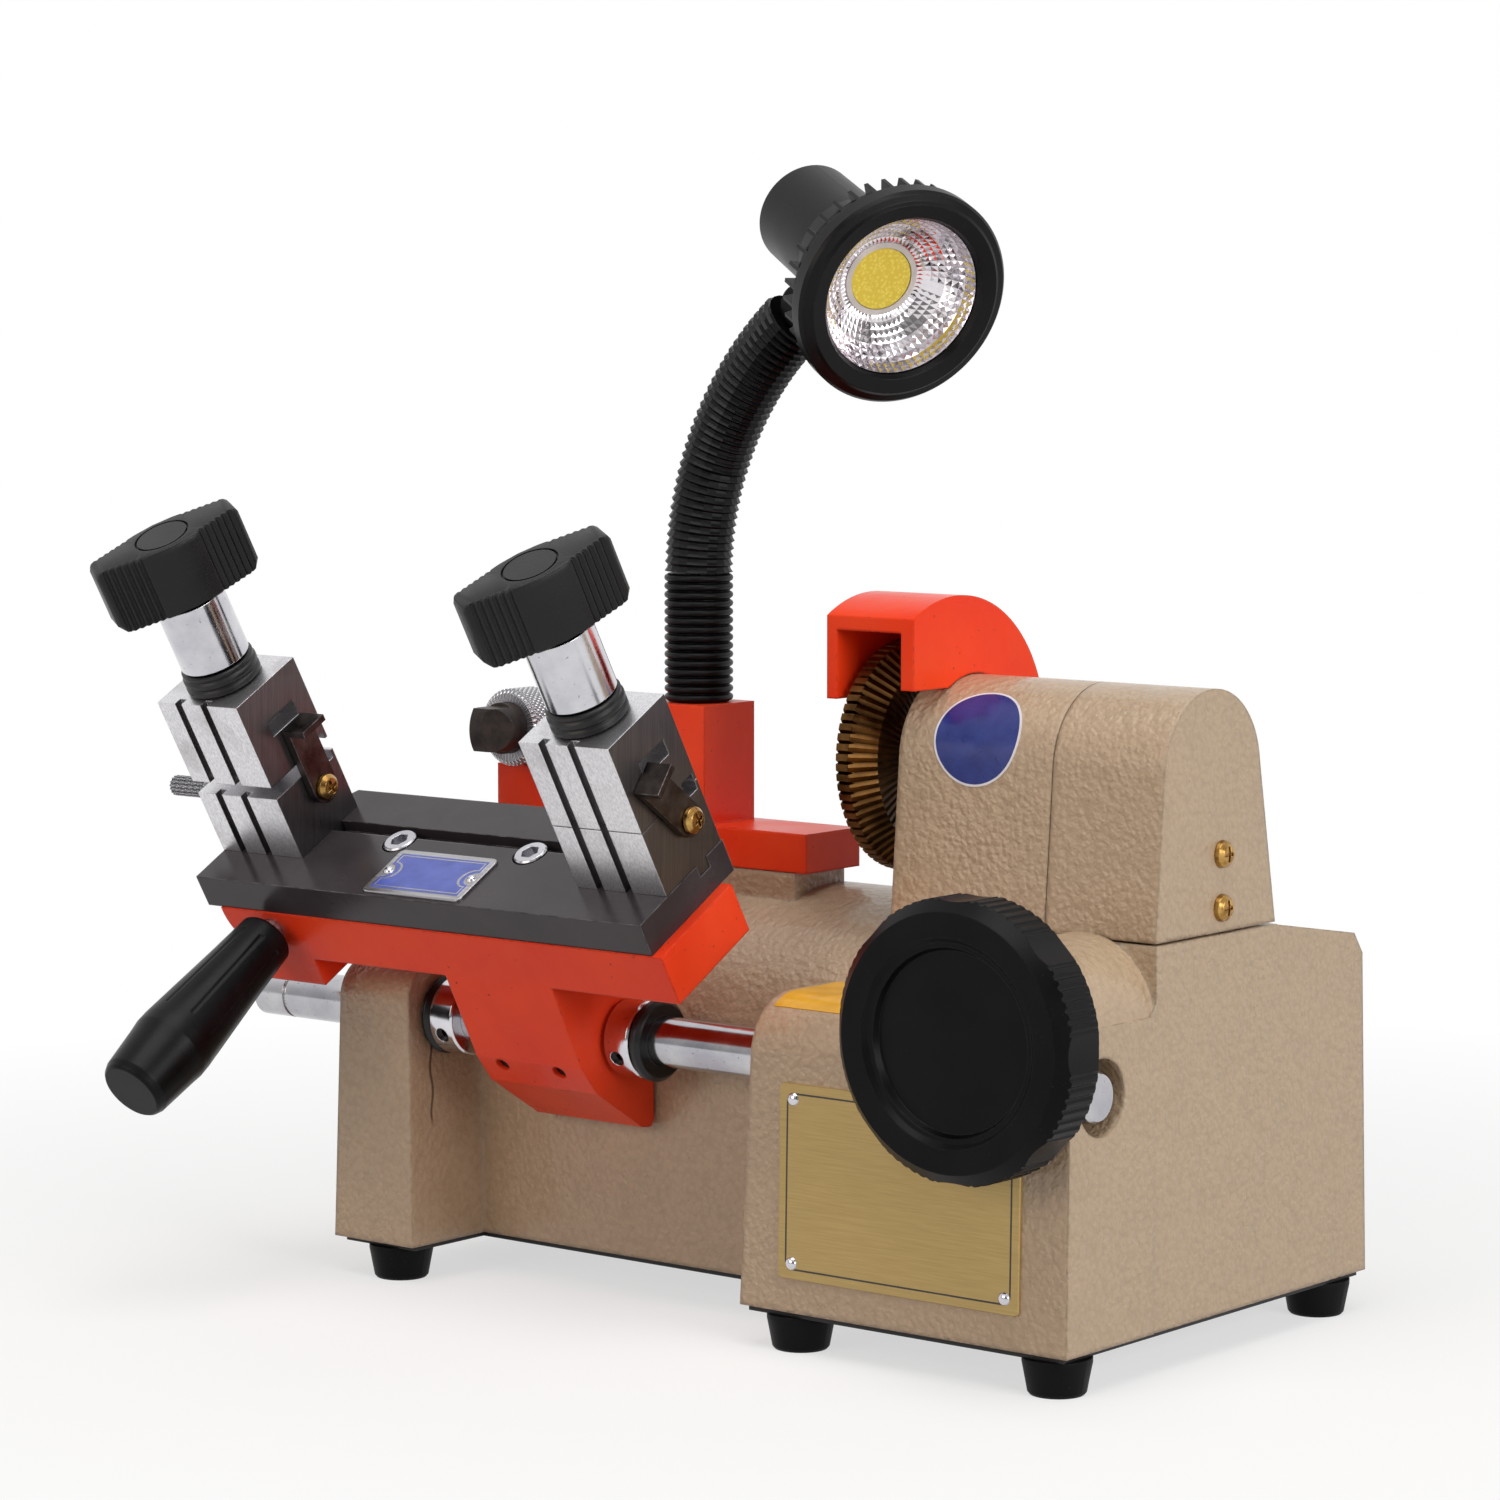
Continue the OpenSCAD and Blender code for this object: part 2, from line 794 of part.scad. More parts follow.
module carriage_bar() {
    end_r = 16;
    color([0.88, 0.27, 0.15])
    on_carriage()
        difference() {
            union() {
                difference() {
                    block([bar_left, bar_front, bar_z], [bar_right, bar_back, plate_z - plate_t - 0.02]);
                    // the left end is rounded off underneath
                    translate([bar_left - 1, -22, bar_z - 1])
                        difference() {
                            cube([end_r + 1, 44, end_r + 1]);
                            translate([end_r + 1, -1, end_r + 1])
                                rotate([-90, 0, 0])
                                    cylinder(h = 50, r = end_r);
                        }
                }
                along_x(lug_left, lug_right)
                    lug_outline();
                // low lug at the left end
                block([bar_left + 1, bar_front, 23.5], [-144.5, -8.5, bar_z + 1]);
            }
            // bore on the shaft
            translate([lug_left - 1, 0, 0])
                rotate([0, 90, 0])
                    cylinder(h = lug_right - lug_left + 2, r = shaft_r + fit_gap);
            // set screws in the front face of the lug
            for (x = lug_screw_x)
                translate([x, -8.5, 0])
                    rotate([90, 0, 0])
                        cylinder(h = 20, r = 2.5);
            // threaded hole for the handle stud
            handle_line()
                translate([0, 0, -14])
                    cylinder(h = 16, r = 4);
            // holes of the plate bolts
            for (p = bolt_places)
                translate([p[0], p[1], bar_z + 4])
                    cylinder(h = 20, r = 4.02);
        }
}

// The line of the handle: z runs out of the bar toward the operator and a little down
module handle_line() {
    translate([-157.5, bar_front, 44.9])
        rotate([95, 0, 0])
            children();
}

module lug_screws() {
    color([0.1, 0.1, 0.11])
    on_carriage()
        for (x = lug_screw_x)
            translate([x, -11.5, 0])
                rotate([90, 0, 0])
                    difference() {
                        cylinder(h = 8, r = 2.5);
                        translate([0, 0, 5])
                            cylinder(h = 5, r = 1.4, $fn = 6);
                    }
}

module carriage_plate() {
    tongue_left = -155;
    tongue_right = -20;
    color([0.16, 0.16, 0.17])
    on_carriage()
        difference() {
            translate([0, 0, plate_z - plate_t])
                linear_extrude(height = plate_t)
                    polygon([
                        [plate_left, plate_front],
                        [plate_left + plate_len, plate_front],
                        [plate_left + plate_len, plate_back],
                        [tongue_right + 5, plate_back],
                        [tongue_right, plate_back + 8],
                        [tongue_left, plate_back + 8],
                        [tongue_left - 5, plate_back],
                        [plate_left, plate_back]
                    ]);
            // long groove behind the bolts
            block([plate_left - 1, 11, plate_z - 4], [plate_left + plate_len + 1, 16.5, plate_z + 1]);
            for (p = bolt_places)
                translate([p[0], p[1], plate_z - plate_t - 1]) {
                    cylinder(h = plate_t + 2, r = 4.2);
                    translate([0, 0, plate_t - 1.5])
                        cylinder(h = 5, r = 6.3);
                }
            for (x = [left_vise, right_vise])
                translate([x, stud_y, plate_z - plate_t - 1])
                    cylinder(h = plate_t + 2, r = 5);
        }
}

module plate_bolts() {
    color([0.75, 0.76, 0.78])
    on_carriage()
        for (p = bolt_places)
            translate([p[0], p[1], plate_z - 2.4])
                difference() {
                    union() {
                        cylinder(h = 2.5, r = 5.6);
                        translate([0, 0, 2.5])
                            cylinder(h = 0.5, r1 = 5.6, r2 = 5.1);
                        translate([0, 0, -18])
                            cylinder(h = 18.1, r = 4);
                    }
                    translate([0, 0, -0.4])
                        cylinder(h = 6, r = 3.2, $fn = 6);
                }
}

// The two upright slots in the front of a jaw of height h
module jaw_slots(h) {
    for (x = [-jaw_w / 2 + 8, -jaw_w / 2 + 19.6])
        block([x, jaw_y - 1, -1], [x + 3, jaw_y + 3, h + 1]);
}

// A lower jaw; the left one has a hole in its left side for the knurled pin
module lower_jaw(x, pin_hole) {
    color([0.74, 0.74, 0.76])
    on_carriage()
        translate([x, 0, plate_z])
            difference() {
                union() {
                    block([-jaw_w / 2, jaw_y, 0.02], [jaw_w / 2, jaw_y + jaw_d, lower_jaw_h]);
                    // key that sits in the groove of the plate
                    block([-jaw_w / 2, 11.1, -3.9], [jaw_w / 2, 16.4, 0.1]);
                }
                jaw_slots(lower_jaw_h);
                // ledge for the key blank along the front of the gripping face
                block([-jaw_w / 2 - 1, ledge_y, lower_jaw_h - 2.9], [jaw_w / 2 + 1, ledge_y + ledge_w, 40]);
                translate([0, stud_y, -10])
                    cylinder(h = 60, r = 5);
                translate([jaw_w / 2 - 9, finger_y, finger_z])
                    rotate([0, 90, 0])
                        cylinder(h = 10, r = 1.95);
                if (pin_hole)
                    translate([-jaw_w / 2 - 1, pin_y, pin_z])
                        rotate([0, 90, 0])
                            cylinder(h = 6, r = 2.05);
            }
}

module upper_jaw(x, open) {
    color([0.74, 0.74, 0.76])
    on_carriage()
        translate([x, 0, plate_z + lower_jaw_h + open])
            difference() {
                block([-jaw_w / 2, jaw_y, 0], [jaw_w / 2, jaw_y + jaw_d, upper_jaw_h]);
                jaw_slots(upper_jaw_h);
                // slot in the right side
                block([jaw_w / 2 - 8, 4.4, 13.7], [jaw_w / 2 + 1, 17.8, 19.4]);
                // relief along the back of the gripping face
                block([-jaw_w / 2 - 1, ledge_y, -1], [jaw_w / 2 + 1, ledge_y + ledge_w, 2.5]);
                translate([0, stud_y, -1])
                    cylinder(h = 40, r = 5.4);
            }
}

module vise_studs() {
    color([0.6, 0.61, 0.63])
    on_carriage()
        for (x = [left_vise, right_vise])
            translate([x, stud_y, plate_z - plate_t + 1])
                union() {
                    cylinder(h = 107, r = 4.9);
                    cylinder(h = 2, r = 4.95);
                }
}

// Rubber washers between the upper jaw and the sleeve
module vise_washers(x, open) {
    color([0.06, 0.06, 0.06])
    on_carriage()
        translate([x, stud_y, plate_z + lower_jaw_h + open + upper_jaw_h])
            rotate_extrude()
                polygon([[5.4, 0], [11.5, 0], [12.6, 1], [12.6, 2.4], [11.8, 3.2], [12.6, 4],
                         [12.6, 5.4], [11.8, 6.2], [12.2, 6.8], [12.2, 7.6], [11.5, 8], [5.4, 8]]);
}

module knob_sleeve(x, open) {
    color([0.85, 0.86, 0.88])
    on_carriage()
        translate([x, stud_y, plate_z + lower_jaw_h + open + upper_jaw_h + 8.3])
            rotate_extrude()
                polygon([[5.3, 0], [10.8, 0], [11.6, 0.8], [11.6, 23.8], [5.3, 23.8]]);
}

module wing_outline() {
    circle(r = 12.8);
    for (s = [0, 180])
        rotate(s)
            polygon([[0, -11.5], [7, -10.6], [24, -5.4], [25, -4.4], [25, 4.4], [24, 5.4], [7, 10.6],
                     [0, 11.5]]);
}

module wing_knob(x, open, turn) {
    h = 23;
    color([0.07, 0.07, 0.075])
    on_carriage()
        translate([x, stud_y, plate_z + lower_jaw_h + open + upper_jaw_h + 32.3])
            rotate([0, 0, turn])
                difference() {
                    intersection() {
                        linear_extrude(height = h)
                            wing_outline();
                        rotate_extrude()
                            polygon([[0, 0], [23, 0], [26, 3.2], [26, h - 2.2], [24, h], [0, h]]);
                    }
                    // round mark recess in the crown, left bare
                    translate([0, 0, h - 1])
                        difference() {
                            cylinder(h = 2, r = 9.2);
                            translate([0, 0, -1])
                                cylinder(h = 1.5, r = 8.4);
                        }
                    // grip grooves down both faces of each wing
                    for (s = [0, 180])
                        rotate([0, 0, s])
                            for (k = [0 : 5])
                                for (m = [-1, 1])
                                    translate([11.5 + k * 2.3, m * (10.5 - k * 0.72), -1])
                                        cylinder(h = h + 2, r = 0.75, $fn = 16);
                    translate([0, 0, -1])
                        cylinder(h = 12, r = 5.3);
                }
}

// A bent gauge finger that turns about its screw; lean tips it toward the operator
module gauge_finger(x, lean) {
    color([0.4, 0.37, 0.36])
    on_carriage()
        translate([x + jaw_w / 2 + 0.3, finger_y, plate_z + finger_z])
            rotate([lean, 0, 0])
                difference() {
                    union() {
                        rotate([0, 90, 0])
                            cylinder(h = 2.8, r = 5.5);
                        block([0, -5.5, 0], [2.8, 5.5, 25]);
                        block([0, -5.5, 23], [9.5, 5.5, 25.2]);
                    }
                    translate([-1, 0, 0])
                        rotate([0, 90, 0])
                            cylinder(h = 12, r = 1.98);
                }
}

module finger_screws() {
    color([0.8, 0.62, 0.25])
    on_carriage()
        for (x = [left_vise, right_vise])
            translate([x + jaw_w / 2, finger_y, plate_z + finger_z])
                difference() {
                    union() {
                        translate([-8, 0, 0])
                            rotate([0, 90, 0])
                                cylinder(h = 11.5, r = 1.9);
                        translate([3.4, 0, 0])
                            rotate([90, 0, 90])
                                rotate_extrude()
                                    polygon([[0, 0], [4.4, 0], [4.2, 1.2], [3, 2.4], [0, 2.8]]);
                    }
                    block([4.8, -0.6, -2.3], [8, 0.6, 2.3]);
                    block([4.8, -2.3, -0.6], [8, 2.3, 0.6]);
                }
}

module knurled_pin() {
    color([0.82, 0.83, 0.85])
    on_carriage()
        translate([left_vise - jaw_w / 2 - 0.02, pin_y, plate_z + pin_z])
            rotate([0, -90, 0])
                union() {
                    difference() {
                        cylinder(h = 18.5, r = 3.4);
                        for (i = [0 : 15])
                            rotate([0, 0, i * 22.5])
                                translate([3.5, 0, 3])
                                    cylinder(h = 20, r = 0.45, $fn = 12);
                    }
                    translate([0, 0, -4])
                        cylinder(h = 4.1, r = 2);
                }
}

module handle_stud() {
    color([0.6, 0.61, 0.63])
    on_carriage()
        handle_line()
            translate([0, 0, -12])
                cylinder(h = 60, r = 3.9);
}

module handle_grip() {
    color([0.06, 0.06, 0.065])
    on_carriage()
        handle_line()
            difference() {
                rotate_extrude()
                    polygon([[3.95, 4], [8.6, 4], [9.4, 5], [10.4, 20], [13.3, 54], [13.4, 58],
                             [12.9, 62], [11.6, 76], [10.8, 78], [10, 78.8], [0, 78.8], [0, 50],
                             [3.95, 50]]);
                // long flutes
                for (i = [0 : 7])
                    rotate([0, 0, i * 45])
                        translate([10.9, 0, 10])
                            rotate([0, 4.9, 0])
                                cylinder(h = 40, r = 1.6);
            }
}

// ---------------------------------------------------------------- tracer

module tracer_bracket() {
    post_l = -75;
    post_r = -49.7;
    eye_front = bracket_y + 3.5;
    eye_r = 11.5;
    color([0.88, 0.27, 0.15])
    difference() {
        union() {
            block([-140, bracket_y, bracket_z], [-7.3, bracket_y + bracket_d, bracket_z + bracket_t]);
            // lamp post
            block([post_l, bracket_y, bracket_z + 1], [post_r, bracket_y + 26, neck_z - 0.3]);
            // tracer post, cut down in front to clear the knurled head, and its round eye
            block([-140, bracket_y, bracket_z + 1],
                  [-112, bracket_y + 22, tracer_z - head_of_sleeve_r - 0.5]);
            block([tracer_x - 12, eye_front, bracket_z + 1], [tracer_x + 12, bracket_y + 22, tracer_z]);
            bar_y(tracer_x, eye_front, bracket_y + 22, tracer_z, eye_r);
        }
        bar_y(tracer_x, bracket_y - 1, bracket_y + 30, tracer_z, barrel_r + 0.02);
        for (x = bracket_bolt_x)
            translate([x, bracket_y + 13, bracket_z - 1])
                cylinder(h = 60, r = 3.3);
        // wire way up through the lamp post
        translate([neck_x, neck_y, neck_z - 30])
            cylinder(h = 40, r = 5);
        // clamp screw hole in the left side of the eye
        bar_x(tracer_x - 20, tracer_x, tracer_screw_y, tracer_z, 2.5);
    }
}

module bracket_bolts() {
    color([0.12, 0.12, 0.13])
    for (x = bracket_bolt_x)
        translate([x, bracket_y + 13, bracket_z + bracket_t])
            difference() {
                union() {
                    cylinder(h = 5, r = 5);
                    translate([0, 0, -26])
                        cylinder(h = 26.1, r = 2.55);
                }
                translate([0, 0, 2])
                    cylinder(h = 5, r = 2.5, $fn = 6);
            }
}

module tracer_sleeve() {
    face = bracket_y - 10.45;
    head_l = 13.6;
    color([0.85, 0.86, 0.88])
    difference() {
        union() {
            bar_y(tracer_x, face + 1, bracket_y + 26, tracer_z, barrel_r);
            translate([tracer_x, face, tracer_z])
                rotate([-90, 0, 0])
                    rotate_extrude()
                        polygon([[5, 0], [head_of_sleeve_r - 1.6, 0], [head_of_sleeve_r, 1.6],
                                 [head_of_sleeve_r, head_l - 1], [head_of_sleeve_r - 1, head_l],
                                 [5, head_l]]);
        }
        bar_y(tracer_x, face - 2, bracket_y + 30, tracer_z, shank_r + fit_gap);
        // seat that the pin's head sinks into
        bar_y(tracer_x, face - 2, face + 4.4, tracer_z, pin_head_r + 0.08);
        bar_x(tracer_x - 20, tracer_x, tracer_screw_y, tracer_z, 2.5);
    }
}

module tracer_pin() {
    tip = -39.4;
    head_back = bracket_y - 8.8;
    nose_r = 13;
    color([0.13, 0.12, 0.12])
    translate([tracer_x, 0, tracer_z])
        union() {
            translate([0, head_back - 1, 0])
                rotate([-90, 0, 0])
                    cylinder(h = bracket_y + 28 - head_back, r = shank_r);
            // stout head, flat above and below, ground to a wedge that matches the cutter's edge
            intersection() {
                translate([0, tip - 1, 0])
                    rotate([-90, 0, 0])
                        cylinder(h = head_back - tip + 1, r = pin_head_r);
                union() {
                    translate([0, 0, -7.2])
                        linear_extrude(height = 14.4)
                            polygon([[-4, tip], [0.5, tip], [9, tip + 8.5], [9, 0], [-9, 0],
                                     [-9, tip + 10], [-4, tip + 4]]);
                    translate([0, tip + 11, 0])
                        rotate([-90, 0, 0])
                            cylinder(h = 20, r = 9);
                }
                translate([-10, tip + nose_r, 0])
                    rotate([0, 90, 0])
                        union() {
                            cylinder(h = 20, r = nose_r);
                            translate([-nose_r, 0, 0])
                                cube([2 * nose_r, 30, 20]);
                        }
            }
        }
}

module tracer_screw() {
    color([0.75, 0.76, 0.78])
    translate([tracer_x, tracer_screw_y, tracer_z])
        rotate([0, -90, 0])
            union() {
                translate([0, 0, shank_r + 0.3])
                    cylinder(h = 8, r = 2.45);
                translate([0, 0, 12.4])
                    cylinder(h = 6.5, r = 5);
            }
}

// ---------------------------------------------------------------- lamp

// Height of the corrugation at arc length s
function rib(s) = neck_d / 2 - rib_depth / 2 + rib_depth / 2 * cos(360 * s / rib_pitch);

// Centre line of the bent neck, by turned angle from the upright
function neck_point(a) = [neck_x + neck_bend_r * (1 - cos(a)), neck_y, bend_z + neck_bend_r * sin(a)];

// One ring of the corrugated skin
function neck_ring(a, sides) =
    let (c = neck_point(a), r = rib(a * PI / 180 * neck_bend_r))
    [for (k = [0 : sides - 1])
        let (t = k * 360 / sides)
        [c[0] + r * cos(t) * cos(a), c[1] + r * sin(t), c[2] - r * cos(t) * sin(a)]];

// The corrugated neck between two turned angles, closed by flat ends
module neck_sweep(from, to) {
    sides = 20;
    step = rib_pitch / 3 / neck_bend_r * 180 / PI;
    count = round((to - from) / step);
    rings = [for (i = [0 : count]) neck_ring(from + (to - from) * i / count, sides)];
    points = [for (ring = rings) for (p = ring) p];
    sides_list = [for (i = [0 : count - 1]) for (k = [0 : sides - 1])
        let (n = (k + 1) % sides)
        [i * sides + k, (i + 1) * sides + k, (i + 1) * sides + n, i * sides + n]];
    ends = [[for (k = [0 : sides - 1]) k], [for (k = [sides - 1 : -1 : 0]) count * sides + k]];
    polyhedron(points = points, faces = concat(sides_list, ends), convexity = 6);
}

module neck_lower() {
    ribs = floor((lower_end - neck_z) / rib_pitch);
    r = neck_d / 2;
    color([0.06, 0.06, 0.065])
    translate([neck_x, neck_y, neck_z])
        difference() {
            rotate_extrude()
                polygon(concat(
                    [[0, 0]],
                    [for (i = [0 : ribs - 1])
                        for (q = [[rib_depth, 0], [0.25, 0.22], [0, 0.4], [0, 0.6], [0.25, 0.78]])
                            [r - q[0], (i + q[1]) * rib_pitch]],
                    [[r - rib_depth, ribs * rib_pitch], [0, ribs * rib_pitch]]
                ));
            translate([0, 0, -1])
                cylinder(h = 60, r = 4.5);
        }
}

module neck_bend() {
    color([0.06, 0.06, 0.065])
    neck_sweep(bend_from, bend_to);
}

module neck_upper() {
    color([0.06, 0.06, 0.065])
    neck_sweep(bend_to + 0.1, neck_to);
}

module lamp_body() {
    fins = 36;
    color([0.09, 0.09, 0.095])
    difference() {
        union() {
            on_lamp()
                rotate([0, -90, 0])
                    rotate_extrude($fn = 72)
                        polygon([[0, 6], [31.5, 6], [31.5, 13], [29.5, 15.5], [24, 21], [19, 29],
                                 [17.8, 40], [17.4, 73], [15.8, 75.6], [0, 76]]);
            // cooling fins round the rim
            on_lamp()
                for (i = [0 : fins - 1])
                    rotate([i * 360 / fins, 0, 0])
                        block([-14.5, -0.65, 29], [-6.5, 0.65, 34.3]);
            lamp_knuckle();
        }
        // bowl that the reflector sits in
        on_lamp()
            rotate([0, -90, 0])
                rotate_extrude($fn = 72)
                    polygon([[0, 0], [26.6, 0], [26.6, 8], [22, 14], [17, 18], [12, 22], [0, 22]]);
    }
}

// Knuckle of the lamp in front of the end of the neck; the lamp tilts about its middle line
module lamp_knuckle() {
    end = neck_point(neck_to);
    reach = knuckle_r + 0.3;
    middle = end + reach * [sin(neck_to), 0, cos(neck_to)];
    bar_y(middle[0], middle[1] - 6, middle[1] + 9, middle[2], knuckle_r);
}

module lamp_bezel() {
    r = bezel_d / 2;
    color([0.05, 0.05, 0.055])
    on_lamp()
        rotate([0, -90, 0])
            rotate_extrude($fn = 72)
                polygon([[26.2, -0.5], [27.2, -2.4], [r - 4, -3.2], [r - 3, -2.2], [r - 0.9, -1.6],
                         [r, -0.4], [r, 4.6], [r - 0.8, 5.8], [26.2, 5.8]]);
}

module lamp_reflector() {
    color([0.85, 0.86, 0.88])
    on_lamp()
        rotate([0, -90, 0])
            rotate_extrude($fn = 72)
                polygon([[10.5, led_depth + 0.2], [15, 14.5], [20, 10.8], [24.2, 5.4], [25.9, 0],
                         [26.1, 0], [26.1, 5], [25.2, 6], [20.8, 12], [15.4, 15.8],
                         [10.5, led_depth + 1.4]]);
}

module lamp_led() {
    color([0.92, 0.8, 0.25])
    on_lamp()
        rotate([0, -90, 0])
            translate([0, 0, led_depth])
                cylinder(h = 21.9 - led_depth, r = 10.3);
}

// ---------------------------------------------------------------- rear fittings

// Middle of the switch on the back wall
module at_switch() {
    translate([switch_x, rear_y, switch_z])
        children();
}

module power_switch() {
    color([0.08, 0.08, 0.085])
    at_switch()
        difference() {
            union() {
                block([-11.2, -14, -6.7], [11.2, 0.1, 6.7]);
                block([-13.5, 0.02, -8.5], [13.5, 1.8, 8.5]);
            }
            block([-8, -8, -4.8], [8, 3, 4.8]);
        }
}

module switch_rocker() {
    pivot_y = -3.5;
    color([0.6, 0.08, 0.07])
    at_switch()
        translate([0, pivot_y, 0])
            rotate([0, 0, 7])
                union() {
                    translate([0, 0, -4.4])
                        linear_extrude(height = 8.8)
                            polygon([[-6.9, 2.6], [-2.2, -1.5], [2.2, -1.5], [6.9, 2.6], [6.9, 5.9],
                                     [0, 4.6], [-6.9, 5.9]]);
                    // pivot
                    translate([0, 0, -4.7])
                        cylinder(h = 9.4, r = 1.6);
                }
}

module cable_gland() {
    color([0.07, 0.07, 0.075])
    translate([gland_x, rear_y - 3, switch_z])
        rotate([-90, 0, 0])
            rotate_extrude()
                polygon([[3.2, -8], [5.8, -8], [5.8, 3.4], [8.5, 3.4], [8.5, 5.5], [7, 7], [6, 13],
                         [3.2, 13]]);
}

base_casting();
bottom_plate();
rubber_feet();
belt_cover();
cover_screws();
motor();
motor_rotor();
motor_pulley();
drive_belt();
spindle();
spindle_bearings();
spindle_pulley();
cutter_wheel();
cutter_nut();
cutter_guard();
guard_screws();
carriage_shaft();
shaft_bushes();
stop_collars();
collar_screws();
bumper_rings();
handwheel();
pinion_shaft();
pinion_bush();
carriage_bar();
lug_screws();
carriage_plate();
plate_bolts();
vise_studs();
finger_screws();
lower_jaw(left_vise, true);  // left_lower_jaw
upper_jaw(left_vise, left_open);  // left_upper_jaw
vise_washers(left_vise, left_open);  // left_washers
knob_sleeve(left_vise, left_open);  // left_sleeve
wing_knob(left_vise, left_open, knob_turn);  // left_knob
gauge_finger(left_vise, 0);  // left_finger
lower_jaw(right_vise, false);  // right_lower_jaw
upper_jaw(right_vise, right_open);  // right_upper_jaw
vise_washers(right_vise, right_open);  // right_washers
knob_sleeve(right_vise, right_open);  // right_sleeve
wing_knob(right_vise, right_open, knob_turn);  // right_knob
gauge_finger(right_vise, right_finger_lean);  // right_finger
knurled_pin();
handle_stud();
handle_grip();
tracer_bracket();
bracket_bolts();
tracer_sleeve();
tracer_pin();
tracer_screw();
neck_lower();
neck_bend();
neck_upper();
lamp_body();
lamp_bezel();
lamp_reflector();
lamp_led();
power_switch();
switch_rocker();
cable_gland();
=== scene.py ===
import math

import bmesh
import bpy
from mathutils import Matrix, Vector


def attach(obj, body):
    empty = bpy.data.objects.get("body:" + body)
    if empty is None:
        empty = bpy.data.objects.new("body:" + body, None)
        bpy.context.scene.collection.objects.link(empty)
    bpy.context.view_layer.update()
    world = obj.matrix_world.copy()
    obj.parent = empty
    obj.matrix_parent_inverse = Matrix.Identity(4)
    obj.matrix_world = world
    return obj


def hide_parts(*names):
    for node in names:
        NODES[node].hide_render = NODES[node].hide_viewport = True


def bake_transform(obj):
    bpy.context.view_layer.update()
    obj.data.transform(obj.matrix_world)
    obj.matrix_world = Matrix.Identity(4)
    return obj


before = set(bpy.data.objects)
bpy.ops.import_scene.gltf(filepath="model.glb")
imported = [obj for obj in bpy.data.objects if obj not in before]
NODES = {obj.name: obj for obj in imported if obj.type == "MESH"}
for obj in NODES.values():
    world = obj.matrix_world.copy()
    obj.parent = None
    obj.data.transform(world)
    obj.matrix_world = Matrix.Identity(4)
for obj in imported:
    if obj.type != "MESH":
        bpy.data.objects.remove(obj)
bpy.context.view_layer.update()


# ---------------------------------------------------------------- node helpers

def srgb(r, g, b):
    """Linear RGBA of a screen colour of 0 to 255."""
    def linear(level):
        level /= 255.0
        return level / 12.92 if level <= 0.04045 else ((level + 0.055) / 1.055) ** 2.4
    return (linear(r), linear(g), linear(b), 1.0)


